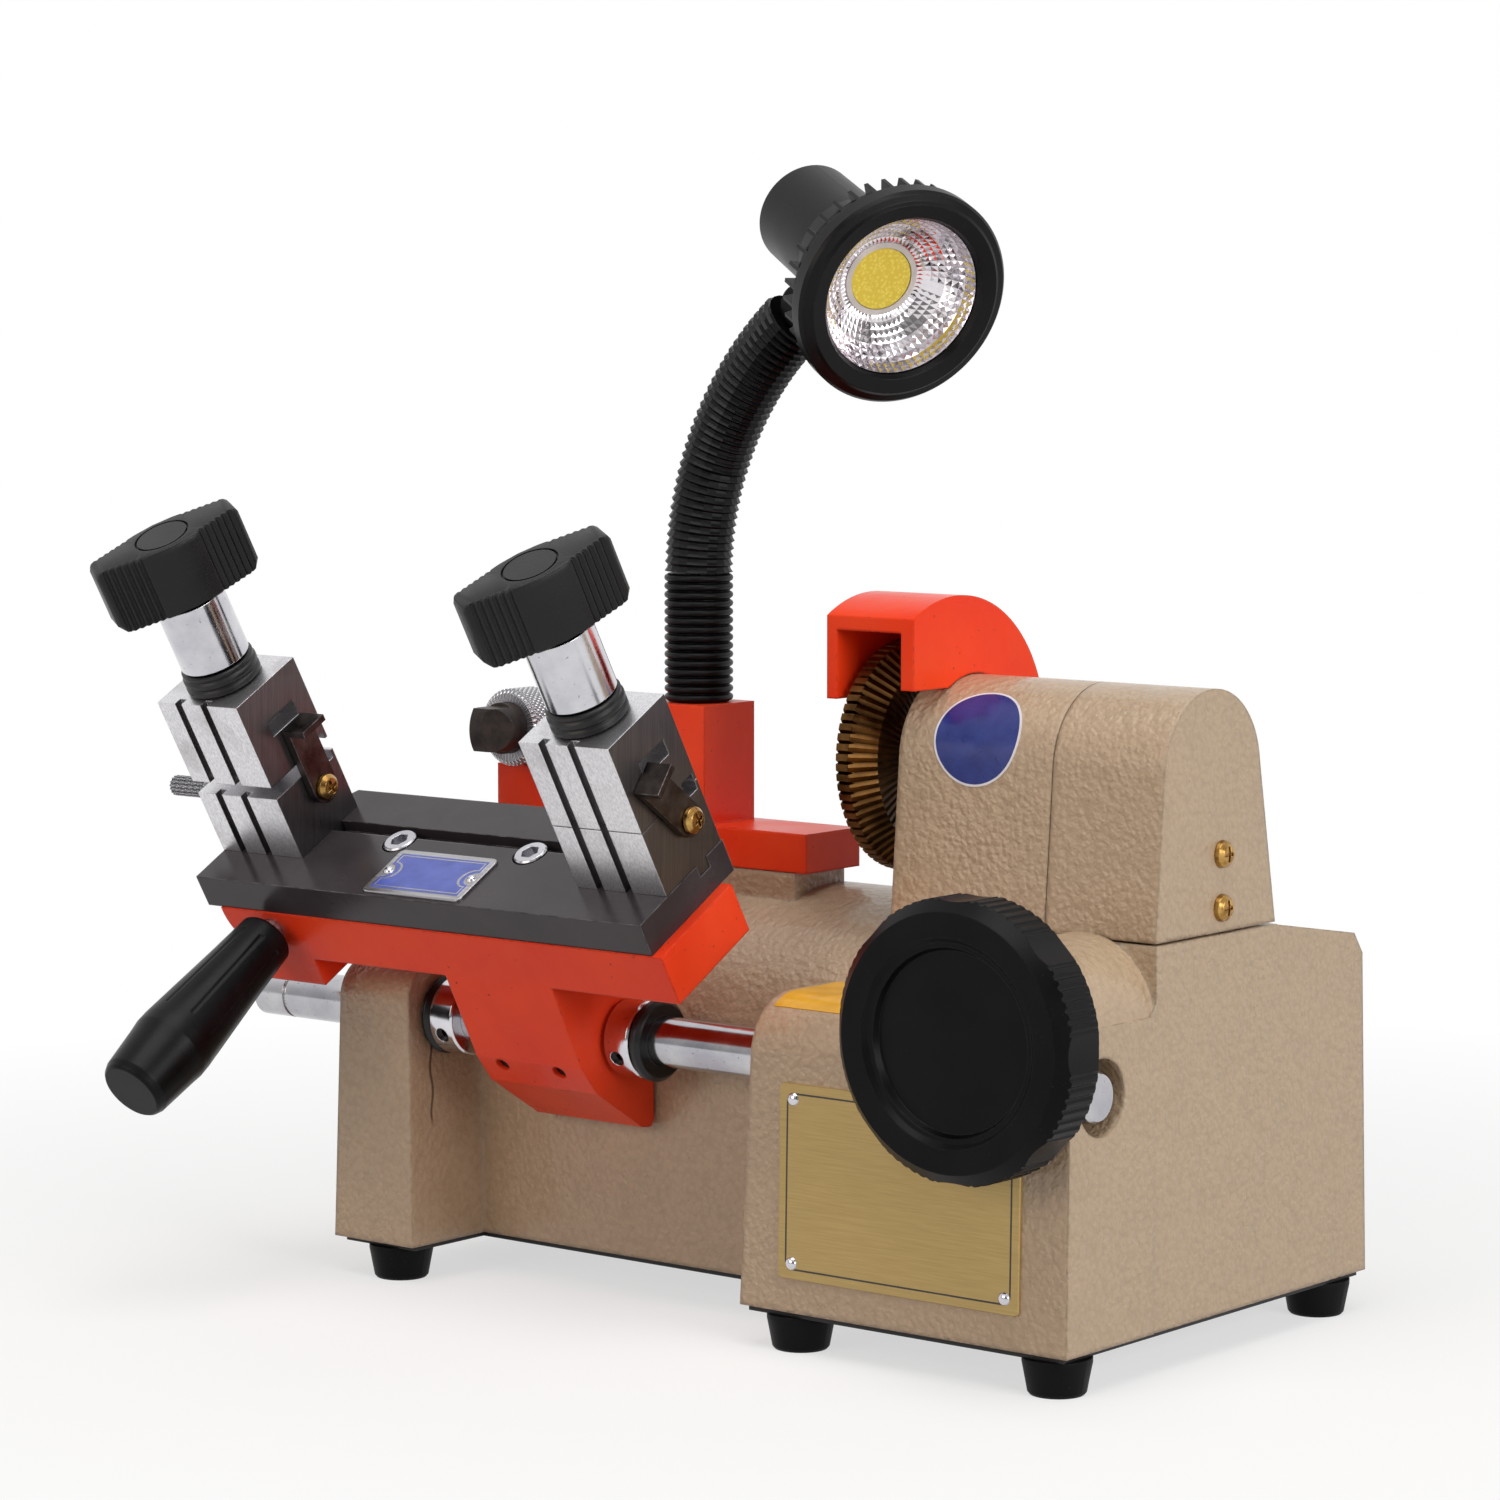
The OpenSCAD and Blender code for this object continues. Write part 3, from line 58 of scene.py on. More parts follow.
class Finish:
    """One material and short ways to add nodes to it."""

    def __init__(self, name, color, rough=0.5, metal=0.0, coat=0.0, coat_rough=0.1, spec=0.5):
        self.material = bpy.data.materials.new(name)
        self.material.use_nodes = True
        self.tree = self.material.node_tree
        self.shader = self.tree.nodes["Principled BSDF"]
        self.shader.inputs["Base Color"].default_value = color
        self.shader.inputs["Roughness"].default_value = rough
        self.shader.inputs["Metallic"].default_value = metal
        self.shader.inputs["Coat Weight"].default_value = coat
        self.shader.inputs["Coat Roughness"].default_value = coat_rough
        self.shader.inputs["Specular IOR Level"].default_value = spec
        self.material.diffuse_color = color
        self.object_coords = self.tree.nodes.new("ShaderNodeTexCoord").outputs["Object"]

    def node(self, kind, **settings):
        n = self.tree.nodes.new(kind)
        for key, value in settings.items():
            setattr(n, key, value)
        return n

    def link(self, a, b):
        self.tree.links.new(a, b)

    def feed(self, socket, value):
        """Link another node's output to a socket, or set the socket to a plain value."""
        if isinstance(value, bpy.types.NodeSocket):
            self.link(value, socket)
        else:
            socket.default_value = value

    def coords(self, scale):
        """Object coordinates stretched along each axis."""
        n = self.node("ShaderNodeMapping")
        n.inputs["Scale"].default_value = scale
        self.link(self.object_coords, n.inputs["Vector"])
        return n.outputs["Vector"]

    def noise(self, scale, detail=2.0, rough=0.5, vec=None):
        """Cloudy noise; the scale is in cells per metre."""
        n = self.node("ShaderNodeTexNoise")
        n.inputs["Scale"].default_value = scale
        n.inputs["Detail"].default_value = detail
        n.inputs["Roughness"].default_value = rough
        self.link(vec or self.object_coords, n.inputs["Vector"])
        return n.outputs["Fac"]

    def warp(self, scale, amount):
        """Object coordinates pushed about by noise, at most about half the amount each way."""
        n = self.node("ShaderNodeTexNoise")
        n.inputs["Scale"].default_value = scale
        n.inputs["Detail"].default_value = 2.0
        self.link(self.object_coords, n.inputs["Vector"])
        shift = self.node("ShaderNodeVectorMath", operation="MULTIPLY_ADD")
        self.link(n.outputs["Color"], shift.inputs[0])
        shift.inputs[1].default_value = (amount, amount, amount)
        self.link(self.object_coords, shift.inputs[2])
        return shift.outputs["Vector"]

    def voronoi(self, scale, feature="SMOOTH_F1", vec=None, smooth=0.6):
        """Distance to the nearest cell centre; the scale is in cells per metre."""
        n = self.node("ShaderNodeTexVoronoi", feature=feature)
        n.inputs["Scale"].default_value = scale
        if feature == "SMOOTH_F1":
            n.inputs["Smoothness"].default_value = smooth
        self.link(vec or self.object_coords, n.inputs["Vector"])
        return n.outputs["Distance"]

    def ramp(self, value, low, high, to_low=0.0, to_high=1.0):
        """Value mapped from low..high to to_low..to_high and held there outside."""
        n = self.node("ShaderNodeMapRange")
        n.clamp = True
        n.inputs["From Min"].default_value = low
        n.inputs["From Max"].default_value = high
        n.inputs["To Min"].default_value = to_low
        n.inputs["To Max"].default_value = to_high
        self.link(value, n.inputs["Value"])
        return n.outputs["Result"]

    def math(self, operation, a, b=0.0):
        n = self.node("ShaderNodeMath", operation=operation)
        self.feed(n.inputs[0], a)
        self.feed(n.inputs[1], b)
        return n.outputs[0]

    def mix(self, fac, a, b):
        """Colour a where fac is 0 and colour b where it is 1."""
        n = self.node("ShaderNodeMix", data_type="RGBA")
        self.feed(n.inputs[0], fac)
        self.feed(n.inputs[6], a)
        self.feed(n.inputs[7], b)
        return n.outputs[2]

    def xyz(self, vec=None):
        """The three components of a vector, by default of the object coordinates."""
        n = self.node("ShaderNodeSeparateXYZ")
        self.link(vec or self.object_coords, n.inputs[0])
        return n.outputs

    def rounded_normal(self, radius):
        """Normal with its sharp edges rounded off."""
        n = self.node("ShaderNodeBevel", samples=6)
        n.inputs["Radius"].default_value = radius
        return n.outputs["Normal"]

    def edge(self, radius):
        """Mask that is 1 on sharp edges, from a rounded normal against the true one."""
        flat, sharp = 0.02, 0.25
        dot = self.node("ShaderNodeVectorMath", operation="DOT_PRODUCT")
        self.link(self.rounded_normal(radius), dot.inputs[0])
        self.link(self.node("ShaderNodeNewGeometry").outputs["Normal"], dot.inputs[1])
        return self.ramp(self.math("SUBTRACT", 1.0, dot.outputs["Value"]), flat, sharp)

    def worn_edge(self, radius, patches, low, high, amount):
        """Edge mask broken up by noise, never stronger than the amount."""
        return self.math("MULTIPLY", self.edge(radius), self.ramp(patches, low, high, 0.0, amount))

    def surface(self, bumps, bevel=0.0):
        """Chain of (height, strength, distance) bumps, on a rounded-edge normal if bevel is set."""
        normal = self.rounded_normal(bevel) if bevel > 0 else None
        for height, strength, distance in bumps:
            n = self.node("ShaderNodeBump")
            self.feed(n.inputs["Strength"], strength)
            n.inputs["Distance"].default_value = distance
            self.link(height, n.inputs["Height"])
            if normal is not None:
                self.link(normal, n.inputs["Normal"])
            normal = n.outputs["Normal"]
        self.link(normal, self.shader.inputs["Normal"])

    def color(self, socket):
        self.link(socket, self.shader.inputs["Base Color"])

    def rough(self, socket):
        self.link(socket, self.shader.inputs["Roughness"])


# ---------------------------------------------------------------- materials

def hammertone(name, pebble=1.0, streaked=False):
    """Beige hammer-finish enamel: run-together pebbles about 2 mm across under a clear gloss."""
    mat = Finish(name, srgb(186, 162, 134), rough=0.36, spec=0.45, coat=0.35, coat_rough=0.12)
    bent = mat.warp(260, 0.0014)
    big = mat.voronoi(480, smooth=0.8, vec=bent)
    small = mat.voronoi(980, smooth=0.6, vec=bent)
    soft = mat.noise(70, 3.0, 0.55)
    patch = mat.noise(28, 2.0)
    dome = mat.math("SUBTRACT", 1.0, mat.math("ADD", big, mat.math("MULTIPLY", small, 0.35)))
    tone = mat.mix(mat.ramp(soft, 0.3, 0.72), srgb(183, 159, 131), srgb(190, 166, 138))
    # Painted shade: the dips between the pebbles are darkened.
    tone = mat.mix(mat.ramp(dome, 0.1, 0.5, 0.24, 0.0), tone, srgb(150, 125, 100))
    dust = mat.ramp(mat.noise(1300, 1.0), 0.72, 0.78, 0.0, 0.5)
    tone = mat.mix(dust, tone, srgb(118, 98, 80))
    rubbed = mat.worn_edge(0.0012, mat.noise(150, 4.0), 0.5, 0.62, 0.35)
    tone = mat.mix(rubbed, tone, srgb(205, 186, 162))
    if streaked:
        tone = mat.mix(oil_streak(mat), tone, srgb(70, 50, 38))
    mat.color(tone)
    mat.rough(mat.ramp(soft, 0.3, 0.7, 0.3, 0.46))
    depth = mat.ramp(patch, 0.35, 0.65, 0.62 * pebble, pebble)
    mat.surface([(soft, 0.25, 0.0012), (dome, depth, 0.0006)], bevel=0.0026)
    return mat


def oil_streak(mat):
    """Mask of the thin run of oil under the left bush, on the inner side of the leg."""
    streak_y, low, high, half_width = -0.0716, 0.051, 0.0785, 0.0007
    leg_left, leg_right, soft = -0.121, -0.112, 0.001
    waves, swing = 420.0, 0.0005
    x, y, z = mat.xyz()
    sway = mat.math("MULTIPLY", mat.math("SINE", mat.math("MULTIPLY", z, waves)), swing)
    off = mat.math("ABSOLUTE", mat.math("SUBTRACT", mat.math("SUBTRACT", y, streak_y), sway))
    line = mat.ramp(off, half_width * 0.5, half_width, 0.85, 0.0)
    line = mat.math("MULTIPLY", line, mat.ramp(z, low, low + 0.004))
    line = mat.math("MULTIPLY", line, mat.ramp(z, high, high + 0.002, 1.0, 0.0))
    line = mat.math("MULTIPLY", line, mat.ramp(x, leg_left, leg_left + soft))
    return mat.math("MULTIPLY", line, mat.ramp(x, leg_right, leg_right + soft, 1.0, 0.0))


def enamel(name, base, dark, light):
    """Orange-red enamel: faint orange peel, cloudy runs, rubbed edges, specks and scuffs."""
    mat = Finish(name, srgb(*base), rough=0.34, spec=0.16, coat=0.06, coat_rough=0.08)
    cloud = mat.noise(32, 3.0)
    tone = mat.mix(mat.ramp(cloud, 0.35, 0.7), srgb(*dark), srgb(*light))
    chips = mat.worn_edge(0.0007, mat.noise(420, 3.0), 0.54, 0.64, 0.7)
    tone = mat.mix(chips, tone, srgb(110, 46, 34))
    speck = mat.ramp(mat.noise(620, 1.0), 0.76, 0.79, 0.0, 0.7)
    tone = mat.mix(speck, tone, srgb(96, 34, 26))
    scuff = mat.ramp(mat.noise(90, 6.0, 0.7, vec=mat.coords((1, 5, 2))), 0.64, 0.72, 0.0, 0.14)
    tone = mat.mix(scuff, tone, srgb(250, 150, 120))
    mat.color(tone)
    mat.rough(mat.ramp(cloud, 0.3, 0.7, 0.26, 0.42))
    peel, runs = mat.noise(520, 2.0), mat.noise(90, 2.0)
    mat.surface([(peel, 0.14, 0.0004), (runs, 0.2, 0.0014)], bevel=0.0011)
    return mat


def black_gloss_plate():
    """Blackened ground plate: polished enough to mirror the vises, with bright worn edges."""
    mat = Finish("plate_black", srgb(60, 55, 59), rough=0.18, spec=0.3)
    cloud = mat.noise(30, 4.0, 0.6)
    lines = mat.noise(60, 5.0, 0.65, vec=mat.coords((1, 26, 26)))
    tone = mat.mix(mat.ramp(cloud, 0.3, 0.75), srgb(52, 47, 51), srgb(68, 63, 67))
    worn = mat.worn_edge(0.0006, mat.noise(160, 4.0), 0.42, 0.62, 0.7)
    tone = mat.mix(worn, tone, srgb(168, 164, 166))
    tone = mat.mix(mat.ramp(lines, 0.66, 0.74, 0.0, 0.3), tone, srgb(104, 98, 102))
    mat.color(tone)
    mat.rough(mat.ramp(cloud, 0.3, 0.7, 0.14, 0.3))
    mat.surface([(mat.noise(1600, 2.0), 0.08, 0.0002), (lines, 0.06, 0.0003)], bevel=0.0006)
    return mat


def ground(name, scale, level, rough, painted_side_shade=0.0):
    """Surface-ground steel with parallel lines; its last argument darkens the faces that look along
    X with painted shade.
    """
    mat = Finish(name, srgb(level, level - 1, level + 1), rough=rough, metal=1.0)
    lines = mat.noise(12, 4.0, 0.6, vec=mat.coords(scale))
    fine = mat.noise(40, 2.0, 0.5, vec=mat.coords(scale))
    cloud = mat.noise(60, 3.0)
    low, high = level - 24, level + 14
    tone = mat.mix(mat.ramp(lines, 0.3, 0.7), srgb(low, low - 2, low + 1),
                   srgb(high, high - 1, high + 2))
    tone = mat.mix(mat.ramp(cloud, 0.54, 0.72, 0.0, 0.35), tone, srgb(132, 124, 122))
    rust = mat.worn_edge(0.0006, mat.noise(330, 4.0), 0.6, 0.7, 0.5)
    tone = mat.mix(rust, tone, srgb(120, 78, 56))
    if painted_side_shade:
        # Painted shade: faces that look along X are darkened towards dark grey.
        across = mat.xyz(mat.node("ShaderNodeTexCoord").outputs["Normal"])[0]
        side = mat.ramp(mat.math("ABSOLUTE", across), 0.6, 0.8, 0.0, painted_side_shade)
        tone = mat.mix(side, tone, srgb(58, 52, 52))
    mat.color(tone)
    mat.rough(mat.ramp(fine, 0.3, 0.7, rough - 0.06, rough + 0.1))
    mat.surface([(lines, 0.08, 0.0003)], bevel=0.0005)
    return mat


def bright_chrome(name, rough, level=214):
    """Chromed or turned bright steel: smudges, light scratches and a few pits."""
    mat = Finish(name, srgb(level, level, level + 4), rough=rough, metal=1.0)
    lathe_marks = mat.noise(16, 3.0, vec=mat.coords((140, 6, 6)))
    smudge = mat.noise(55, 4.0, 0.6)
    tone = mat.mix(mat.ramp(smudge, 0.35, 0.7), srgb(level - 16, level - 17, level - 10),
                 srgb(level + 12, level + 12, level + 15))
    pits = mat.ramp(mat.noise(900, 1.0), 0.72, 0.77, 0.0, 0.6)
    tone = mat.mix(pits, tone, srgb(96, 88, 86))
    mat.color(tone)
    mat.rough(mat.ramp(smudge, 0.35, 0.75, rough - 0.03, rough + 0.1))
    mat.surface([(lathe_marks, 0.05, 0.0002)], bevel=0.0004)
    return mat


def knurled(name, turns, pitch, centre, direction, height):
    """Bright steel with a diamond knurl round an axis given in metres."""
    mat = Finish(name, srgb(205, 206, 209), rough=0.26, metal=1.0)
    turn = Vector(direction).to_track_quat("Z", "Y").to_euler()
    place = mat.node("ShaderNodeMapping", vector_type="TEXTURE")
    place.inputs["Location"].default_value = Vector(centre)
    place.inputs["Rotation"].default_value = turn
    mat.link(mat.object_coords, place.inputs["Vector"])
    x, y, z = mat.xyz(place.outputs["Vector"])
    around = mat.math("MULTIPLY", mat.math("ARCTAN2", y, x), turns)
    along = mat.math("MULTIPLY", z, pitch)
    left = mat.math("SINE", mat.math("ADD", around, along))
    right = mat.math("SINE", mat.math("SUBTRACT", around, along))
    points = mat.math("MULTIPLY", mat.math("ADD", left, 1.0), mat.math("ADD", right, 1.0))
    # Painted shade: the knurl valleys are painted darker than the points.
    mat.color(mat.mix(mat.ramp(points, 0.0, 2.5), srgb(128, 126, 130), srgb(216, 216, 220)))
    mat.rough(mat.ramp(points, 0.0, 2.5, 0.42, 0.2))
    mat.surface([(points, height, 0.0003)])
    return mat


def black_moulded(name, level, rough, grain=900, strength=0.12, spec=0.3, bevel=0.0008):
    """Black moulding with fine grain, cloudy sheen and edges rubbed a little paler."""
    mat = Finish(name, srgb(level, level - 1, level + 1), rough=rough, spec=spec)
    cloud = mat.noise(45, 3.0)
    low, high = max(2, level - 5), level + 6
    tone = mat.mix(mat.ramp(cloud, 0.35, 0.7), srgb(low, low - 1, low + 1),
                   srgb(high, high - 1, high + 1))
    wear = mat.worn_edge(0.0005, mat.noise(300, 3.0), 0.45, 0.6, 0.25)
    tone = mat.mix(wear, tone, srgb(92, 90, 95))
    dust = mat.ramp(mat.noise(1500, 1.0), 0.74, 0.8, 0.0, 0.25)
    tone = mat.mix(dust, tone, srgb(84, 80, 80))
    mat.color(tone)
    mat.rough(mat.ramp(cloud, 0.3, 0.7, rough - 0.05, rough + 0.08))
    mat.surface([(mat.noise(grain, 2.0), strength, 0.0003)], bevel=bevel)
    return mat


def mottled_metal(name, low, high, rough, grain, strength, metal=1.0):
    """Metal with a cloudy tint between two tones: darkened steel, black oxide, brass."""
    mat = Finish(name, srgb(*high), rough=rough, metal=metal)
    cloud = mat.noise(grain, 4.0, 0.6)
    tone = mat.mix(mat.ramp(cloud, 0.35, 0.68), srgb(*low), srgb(*high))
    bright = mat.worn_edge(0.0004, mat.noise(500, 3.0), 0.4, 0.6, 0.5)
    tone = mat.mix(bright, tone, srgb(*[min(255, c + 60) for c in high]))
    mat.color(tone)
    mat.rough(mat.ramp(cloud, 0.3, 0.7, rough - 0.06, rough + 0.1))
    mat.surface([(mat.noise(800, 3.0), strength, 0.0003)], bevel=0.0004)
    return mat


def toothed_bronze():
    """Dark bronze cutter: each tooth gap of the rim runs on down the bevelled face as a V, darkened
    with painted shade.
    """
    teeth, axis_y, axis_z, bevel_x = 72, -0.00525, 0.1785, 0.031
    mat = Finish("cutter_metal", srgb(116, 82, 44), rough=0.34, metal=1.0)
    cloud = mat.noise(90, 4.0, 0.6)
    x, y, z = mat.xyz()
    angle = mat.math("ARCTAN2", mat.math("SUBTRACT", y, axis_y), mat.math("SUBTRACT", z, axis_z))
    pitch = mat.math("FRACT", mat.math("ADD", mat.math("MULTIPLY", angle, teeth / math.tau), 0.5))
    crest = mat.math("MULTIPLY", mat.math("ABSOLUTE", mat.math("SUBTRACT", pitch, 0.5)), 2.0)
    bevelled = mat.ramp(x, bevel_x - 0.0001, bevel_x + 0.0002)
    tone = mat.mix(mat.ramp(cloud, 0.35, 0.68), srgb(78, 52, 26), srgb(124, 88, 48))
    # Painted shade: the tooth gaps on the bevelled face are darkened to near black.
    gap = mat.math("MULTIPLY", bevelled, mat.ramp(crest, 0.05, 0.55, 0.7, 0.0))
    tone = mat.mix(gap, tone, srgb(26, 17, 9))
    bright = mat.worn_edge(0.0003, mat.noise(500, 3.0), 0.4, 0.6, 0.6)
    mat.color(mat.mix(bright, tone, srgb(190, 146, 92)))
    mat.rough(mat.ramp(cloud, 0.3, 0.7, 0.28, 0.46))
    ridges = mat.math("MULTIPLY", crest, bevelled)
    mat.surface([(mat.noise(800, 3.0), 0.12, 0.0003), (ridges, 0.9, 0.0012)])
    return mat


def printed(name, rgb, rough=0.4):
    """Printed film or ink: faint mottling, a slightly uneven gloss and dust."""
    mat = Finish(name, srgb(*rgb), rough=rough, coat=0.2, coat_rough=0.1)
    cloud = mat.noise(160, 3.0)
    darker = [max(0, c - 9) for c in rgb]
    lighter = [min(255, c + 9) for c in rgb]
    tone = mat.mix(mat.ramp(cloud, 0.35, 0.7), srgb(*darker), srgb(*lighter))
    dust = mat.ramp(mat.noise(1700, 1.0), 0.74, 0.8, 0.0, 0.3)
    mat.color(mat.mix(dust, tone, srgb(150, 150, 150)))
    mat.rough(mat.ramp(mat.noise(60, 2.0), 0.3, 0.7, rough - 0.06, rough + 0.08))
    mat.surface([(mat.noise(260, 2.0), 0.1, 0.0003)])
    return mat


def brushed_gold():
    """Anodised gold sheet with fine brushing along its length."""
    mat = Finish("gold_plate", srgb(180, 154, 98), rough=0.38, metal=0.45)
    lines = mat.noise(14, 4.0, 0.6, vec=mat.coords((5, 160, 160)))
    cloud = mat.noise(30, 3.0)
    tone = mat.mix(mat.ramp(lines, 0.3, 0.7), srgb(174, 148, 92), srgb(190, 164, 106))
    tone = mat.mix(mat.ramp(cloud, 0.5, 0.75, 0.0, 0.25), tone, srgb(162, 138, 88))
    mat.color(tone)
    mat.rough(mat.ramp(lines, 0.3, 0.7, 0.32, 0.46))
    mat.surface([(lines, 0.06, 0.0002)])
    return mat


def led_phosphor():
    """Yellow phosphor with the faint dots of the chips under it."""
    mat = Finish("led_phosphor", srgb(236, 214, 74), rough=0.5, coat=0.3)
    dots = mat.voronoi(900, feature="F1")
    tone = mat.mix(mat.ramp(dots, 0.1, 0.6), srgb(246, 228, 96), srgb(228, 200, 60))
    mat.color(tone)
    mat.surface([(dots, 0.12, 0.0002)])
    return mat


def mirror_silver():
    """Vacuum-plated reflector."""
    mat = Finish("reflector_silver", srgb(222, 216, 220), rough=0.09, metal=1.0)
    cloud = mat.noise(140, 3.0)
    mat.color(mat.mix(mat.ramp(cloud, 0.3, 0.7), srgb(206, 200, 204), srgb(236, 232, 235)))
    mat.rough(mat.ramp(cloud, 0.3, 0.7, 0.06, 0.14))
    mat.surface([(mat.noise(260, 2.0), 0.04, 0.0003)])
    return mat


casting = hammertone("base_hammertone", streaked=True)
cover_paint = hammertone("cover_hammertone", 0.85)
orange = enamel("orange_enamel", (252, 72, 36), (246, 64, 30), (255, 80, 42))
guard_orange = enamel("guard_enamel", (255, 66, 24), (250, 60, 20), (255, 74, 30))
plate_black = black_gloss_plate()
under_black = black_moulded("under_plate_black", 40, 0.5)
jaw_steel = ground("jaw_ground_steel", (140, 140, 3), 222, 0.34, painted_side_shade=0.8)
machine_steel = ground("machine_steel", (3, 140, 140), 180, 0.3)
chrome = bright_chrome("bright_chrome", 0.1)
shaft_chrome = bright_chrome("shaft_chrome", 0.13, 184)
sleeve_chrome = bright_chrome("sleeve_chrome", 0.14, 208)
bolt_steel = bright_chrome("bolt_steel", 0.2, 200)
knob_black = black_moulded("knob_plastic", 18, 0.4, 1300, 0.2, 0.3, 0.0002)
wheel_black = black_moulded("wheel_plastic", 5, 0.3, 700, 0.06, 0.11, 0.0005)
grip_black = black_moulded("grip_plastic", 9, 0.34, 900, 0.08, 0.14)
neck_black = black_moulded("neck_plastic", 8, 0.36, 800, 0.1, 0.17, 0.0002)
lamp_black = black_moulded("lamp_shell", 6, 0.34, 1200, 0.08, 0.18, 0.0004)
switch_black = black_moulded("switch_plastic", 24, 0.35, 1200, 0.08)
rubber = black_moulded("black_rubber", 7, 0.5, 1500, 0.3, 0.12)
ring_rubber = black_moulded("ring_rubber", 12, 0.34, 1200, 0.12, 0.4)
finger_steel = mottled_metal("finger_steel", (66, 58, 56), (104, 96, 94), 0.32, 120, 0.12)
oxide = mottled_metal("black_oxide", (24, 22, 22), (46, 42, 42), 0.4, 200, 0.15, 0.6)
tracer_black = mottled_metal("tracer_oxide", (30, 24, 22), (60, 50, 46), 0.44, 160, 0.15, 0.5)
brass = mottled_metal("bright_brass", (142, 104, 52), (198, 158, 92), 0.24, 300, 0.08)
cutter_metal = toothed_bronze()
gold = brushed_gold()
plate_ink = printed("plate_ink", (34, 32, 28), 0.45)
blue_film = printed("blue_film", (28, 48, 126), 0.3)
label_blue = printed("label_blue", (74, 92, 186), 0.3)
white_film = printed("white_film", (228, 226, 232), 0.35)
yellow_film = printed("yellow_film", (236, 176, 22), 0.35)
rocker_red = printed("rocker_red", (176, 30, 28), 0.3)
led_rim = printed("led_rim", (206, 200, 196), 0.4)
led = led_phosphor()
silver = mirror_silver()

SHAFT_LINE = Vector((0, -0.064, 0.0883))
CARRIAGE_TILT = math.radians(30)
CARRIAGE = Matrix.Translation(SHAFT_LINE) @ Matrix.Rotation(CARRIAGE_TILT, 4, "X")
pin_knurl = knurled("pin_knurl", 22, 2200, CARRIAGE @ Vector((-0.2, 0.0025, 0.0825)), (1, 0, 0), 0.9)
ring_knurl = knurled("ring_knurl", 46, 2600, (-0.126, 0, 0.179), (0, 1, 0), 0.6)

FINISHED_NODES = {
    casting: ["base_casting"],
    cover_paint: ["belt_cover"],
    under_black: ["bottom_plate"],
    plate_black: ["carriage_plate"],
    rubber: ["rubber_feet", "drive_belt", "cable_gland"],
    ring_rubber: ["bumper_rings", "left_washers", "right_washers"],
    brass: ["cover_screws", "finger_screws", "shaft_bushes", "pinion_bush"],
    machine_steel: ["motor", "motor_rotor", "motor_pulley", "spindle", "spindle_pulley",
                    "spindle_bearings", "cutter_nut", "pinion_shaft", "vise_studs", "handle_stud"],
    bolt_steel: ["plate_bolts", "tracer_screw"],
    chrome: ["stop_collars"],
    shaft_chrome: ["carriage_shaft"],
    sleeve_chrome: ["left_sleeve", "right_sleeve"],
    pin_knurl: ["knurled_pin"],
    ring_knurl: ["tracer_sleeve"],
    cutter_metal: ["cutter_wheel"],
    guard_orange: ["cutter_guard"],
    orange: ["carriage_bar", "tracer_bracket"],
    oxide: ["guard_screws", "collar_screws", "lug_screws", "bracket_bolts"],
    tracer_black: ["tracer_pin"],
    finger_steel: ["left_finger", "right_finger"],
    wheel_black: ["handwheel"],
    grip_black: ["handle_grip"],
    knob_black: ["left_knob", "right_knob"],
    jaw_steel: ["left_lower_jaw", "left_upper_jaw", "right_lower_jaw", "right_upper_jaw"],
    neck_black: ["neck_lower", "neck_bend", "neck_upper"],
    lamp_black: ["lamp_body", "lamp_bezel"],
    silver: ["lamp_reflector"],
    led: ["lamp_led"],
    switch_black: ["power_switch"],
    rocker_red: ["switch_rocker"],
}
for finish, names in FINISHED_NODES.items():
    for name in names:
        slots = NODES[name].material_slots
        for one in slots:
            one.material = finish.material
        if not slots:
            NODES[name].data.materials.append(finish.material)


# ---------------------------------------------------------------- mesh helpers

def piece(name, bm, finishes, body, smooth=None):
    """Object from a bmesh, riding on a body; smooth is the sharp-edge angle in degrees."""
    bmesh.ops.recalc_face_normals(bm, faces=bm.faces)
    mesh = bpy.data.meshes.new(name)
    bm.to_mesh(mesh)
    bm.free()
    o = bpy.data.objects.new(name, mesh)
    bpy.context.scene.collection.objects.link(o)
    for finish in finishes:
        mesh.materials.append(finish.material)
    if smooth is not None:
        mesh.shade_smooth()
        mesh.set_sharp_from_angle(angle=math.radians(smooth))
    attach(o, body)
    return o


def arc(centre_x, centre_y, radius, first, last, steps):
    """Points along an arc between two angles in degrees."""
    points = []
    for i in range(steps + 1):
        a = math.radians(first + (last - first) * i / steps)
        points.append((centre_x + radius * math.cos(a), centre_y + radius * math.sin(a)))
    return points


def rounded(w, h, r):
    """Outline of a rounded rectangle centred on the origin."""
    points = []
    for sx, sy, first in ((1, 1, 0), (-1, 1, 90), (-1, -1, 180), (1, -1, 270)):
        points += arc(sx * (w / 2 - r), sy * (h / 2 - r), r, first, first + 90, 6)
    return points


def wall(bm, rings, slot):
    """Faces between each closed ring of vertices and the next."""
    for a, b in zip(rings, rings[1:]):
        for i in range(len(a)):
            j = (i + 1) % len(a)
            bm.faces.new((a[i], a[j], b[j], b[i])).material_index = slot


def slab(bm, outline, z0, z1, slot, place, chamfer):
    """A flat plate from an outline, with a small chamfer round its face."""
    n = len(outline)
    centre = Vector((sum(p[0] for p in outline) / n, sum(p[1] for p in outline) / n))

    def ring(z, inset):
        out = []
        for point in outline:
            arm = Vector(point) - centre
            x, y = centre + arm * (1 - inset / arm.length)
            out.append(bm.verts.new(place @ Vector((x, y, z))))
        return out

    rings = [ring(z0, 0), ring(z1 - chamfer, 0), ring(z1, chamfer)]
    wall(bm, rings, slot)
    bm.faces.new(rings[-1]).material_index = slot
    bm.faces.new(list(reversed(rings[0]))).material_index = slot


def frame_strip(bm, outer, inner, z0, z1, slot, place):
    """A closed band between two outlines of the same length."""
    rings = []
    for outline, z in ((outer, z0), (outer, z1), (inner, z1), (inner, z0)):
        rings.append([bm.verts.new(place @ Vector((x, y, z))) for x, y in outline])
    wall(bm, rings + rings[:1], slot)


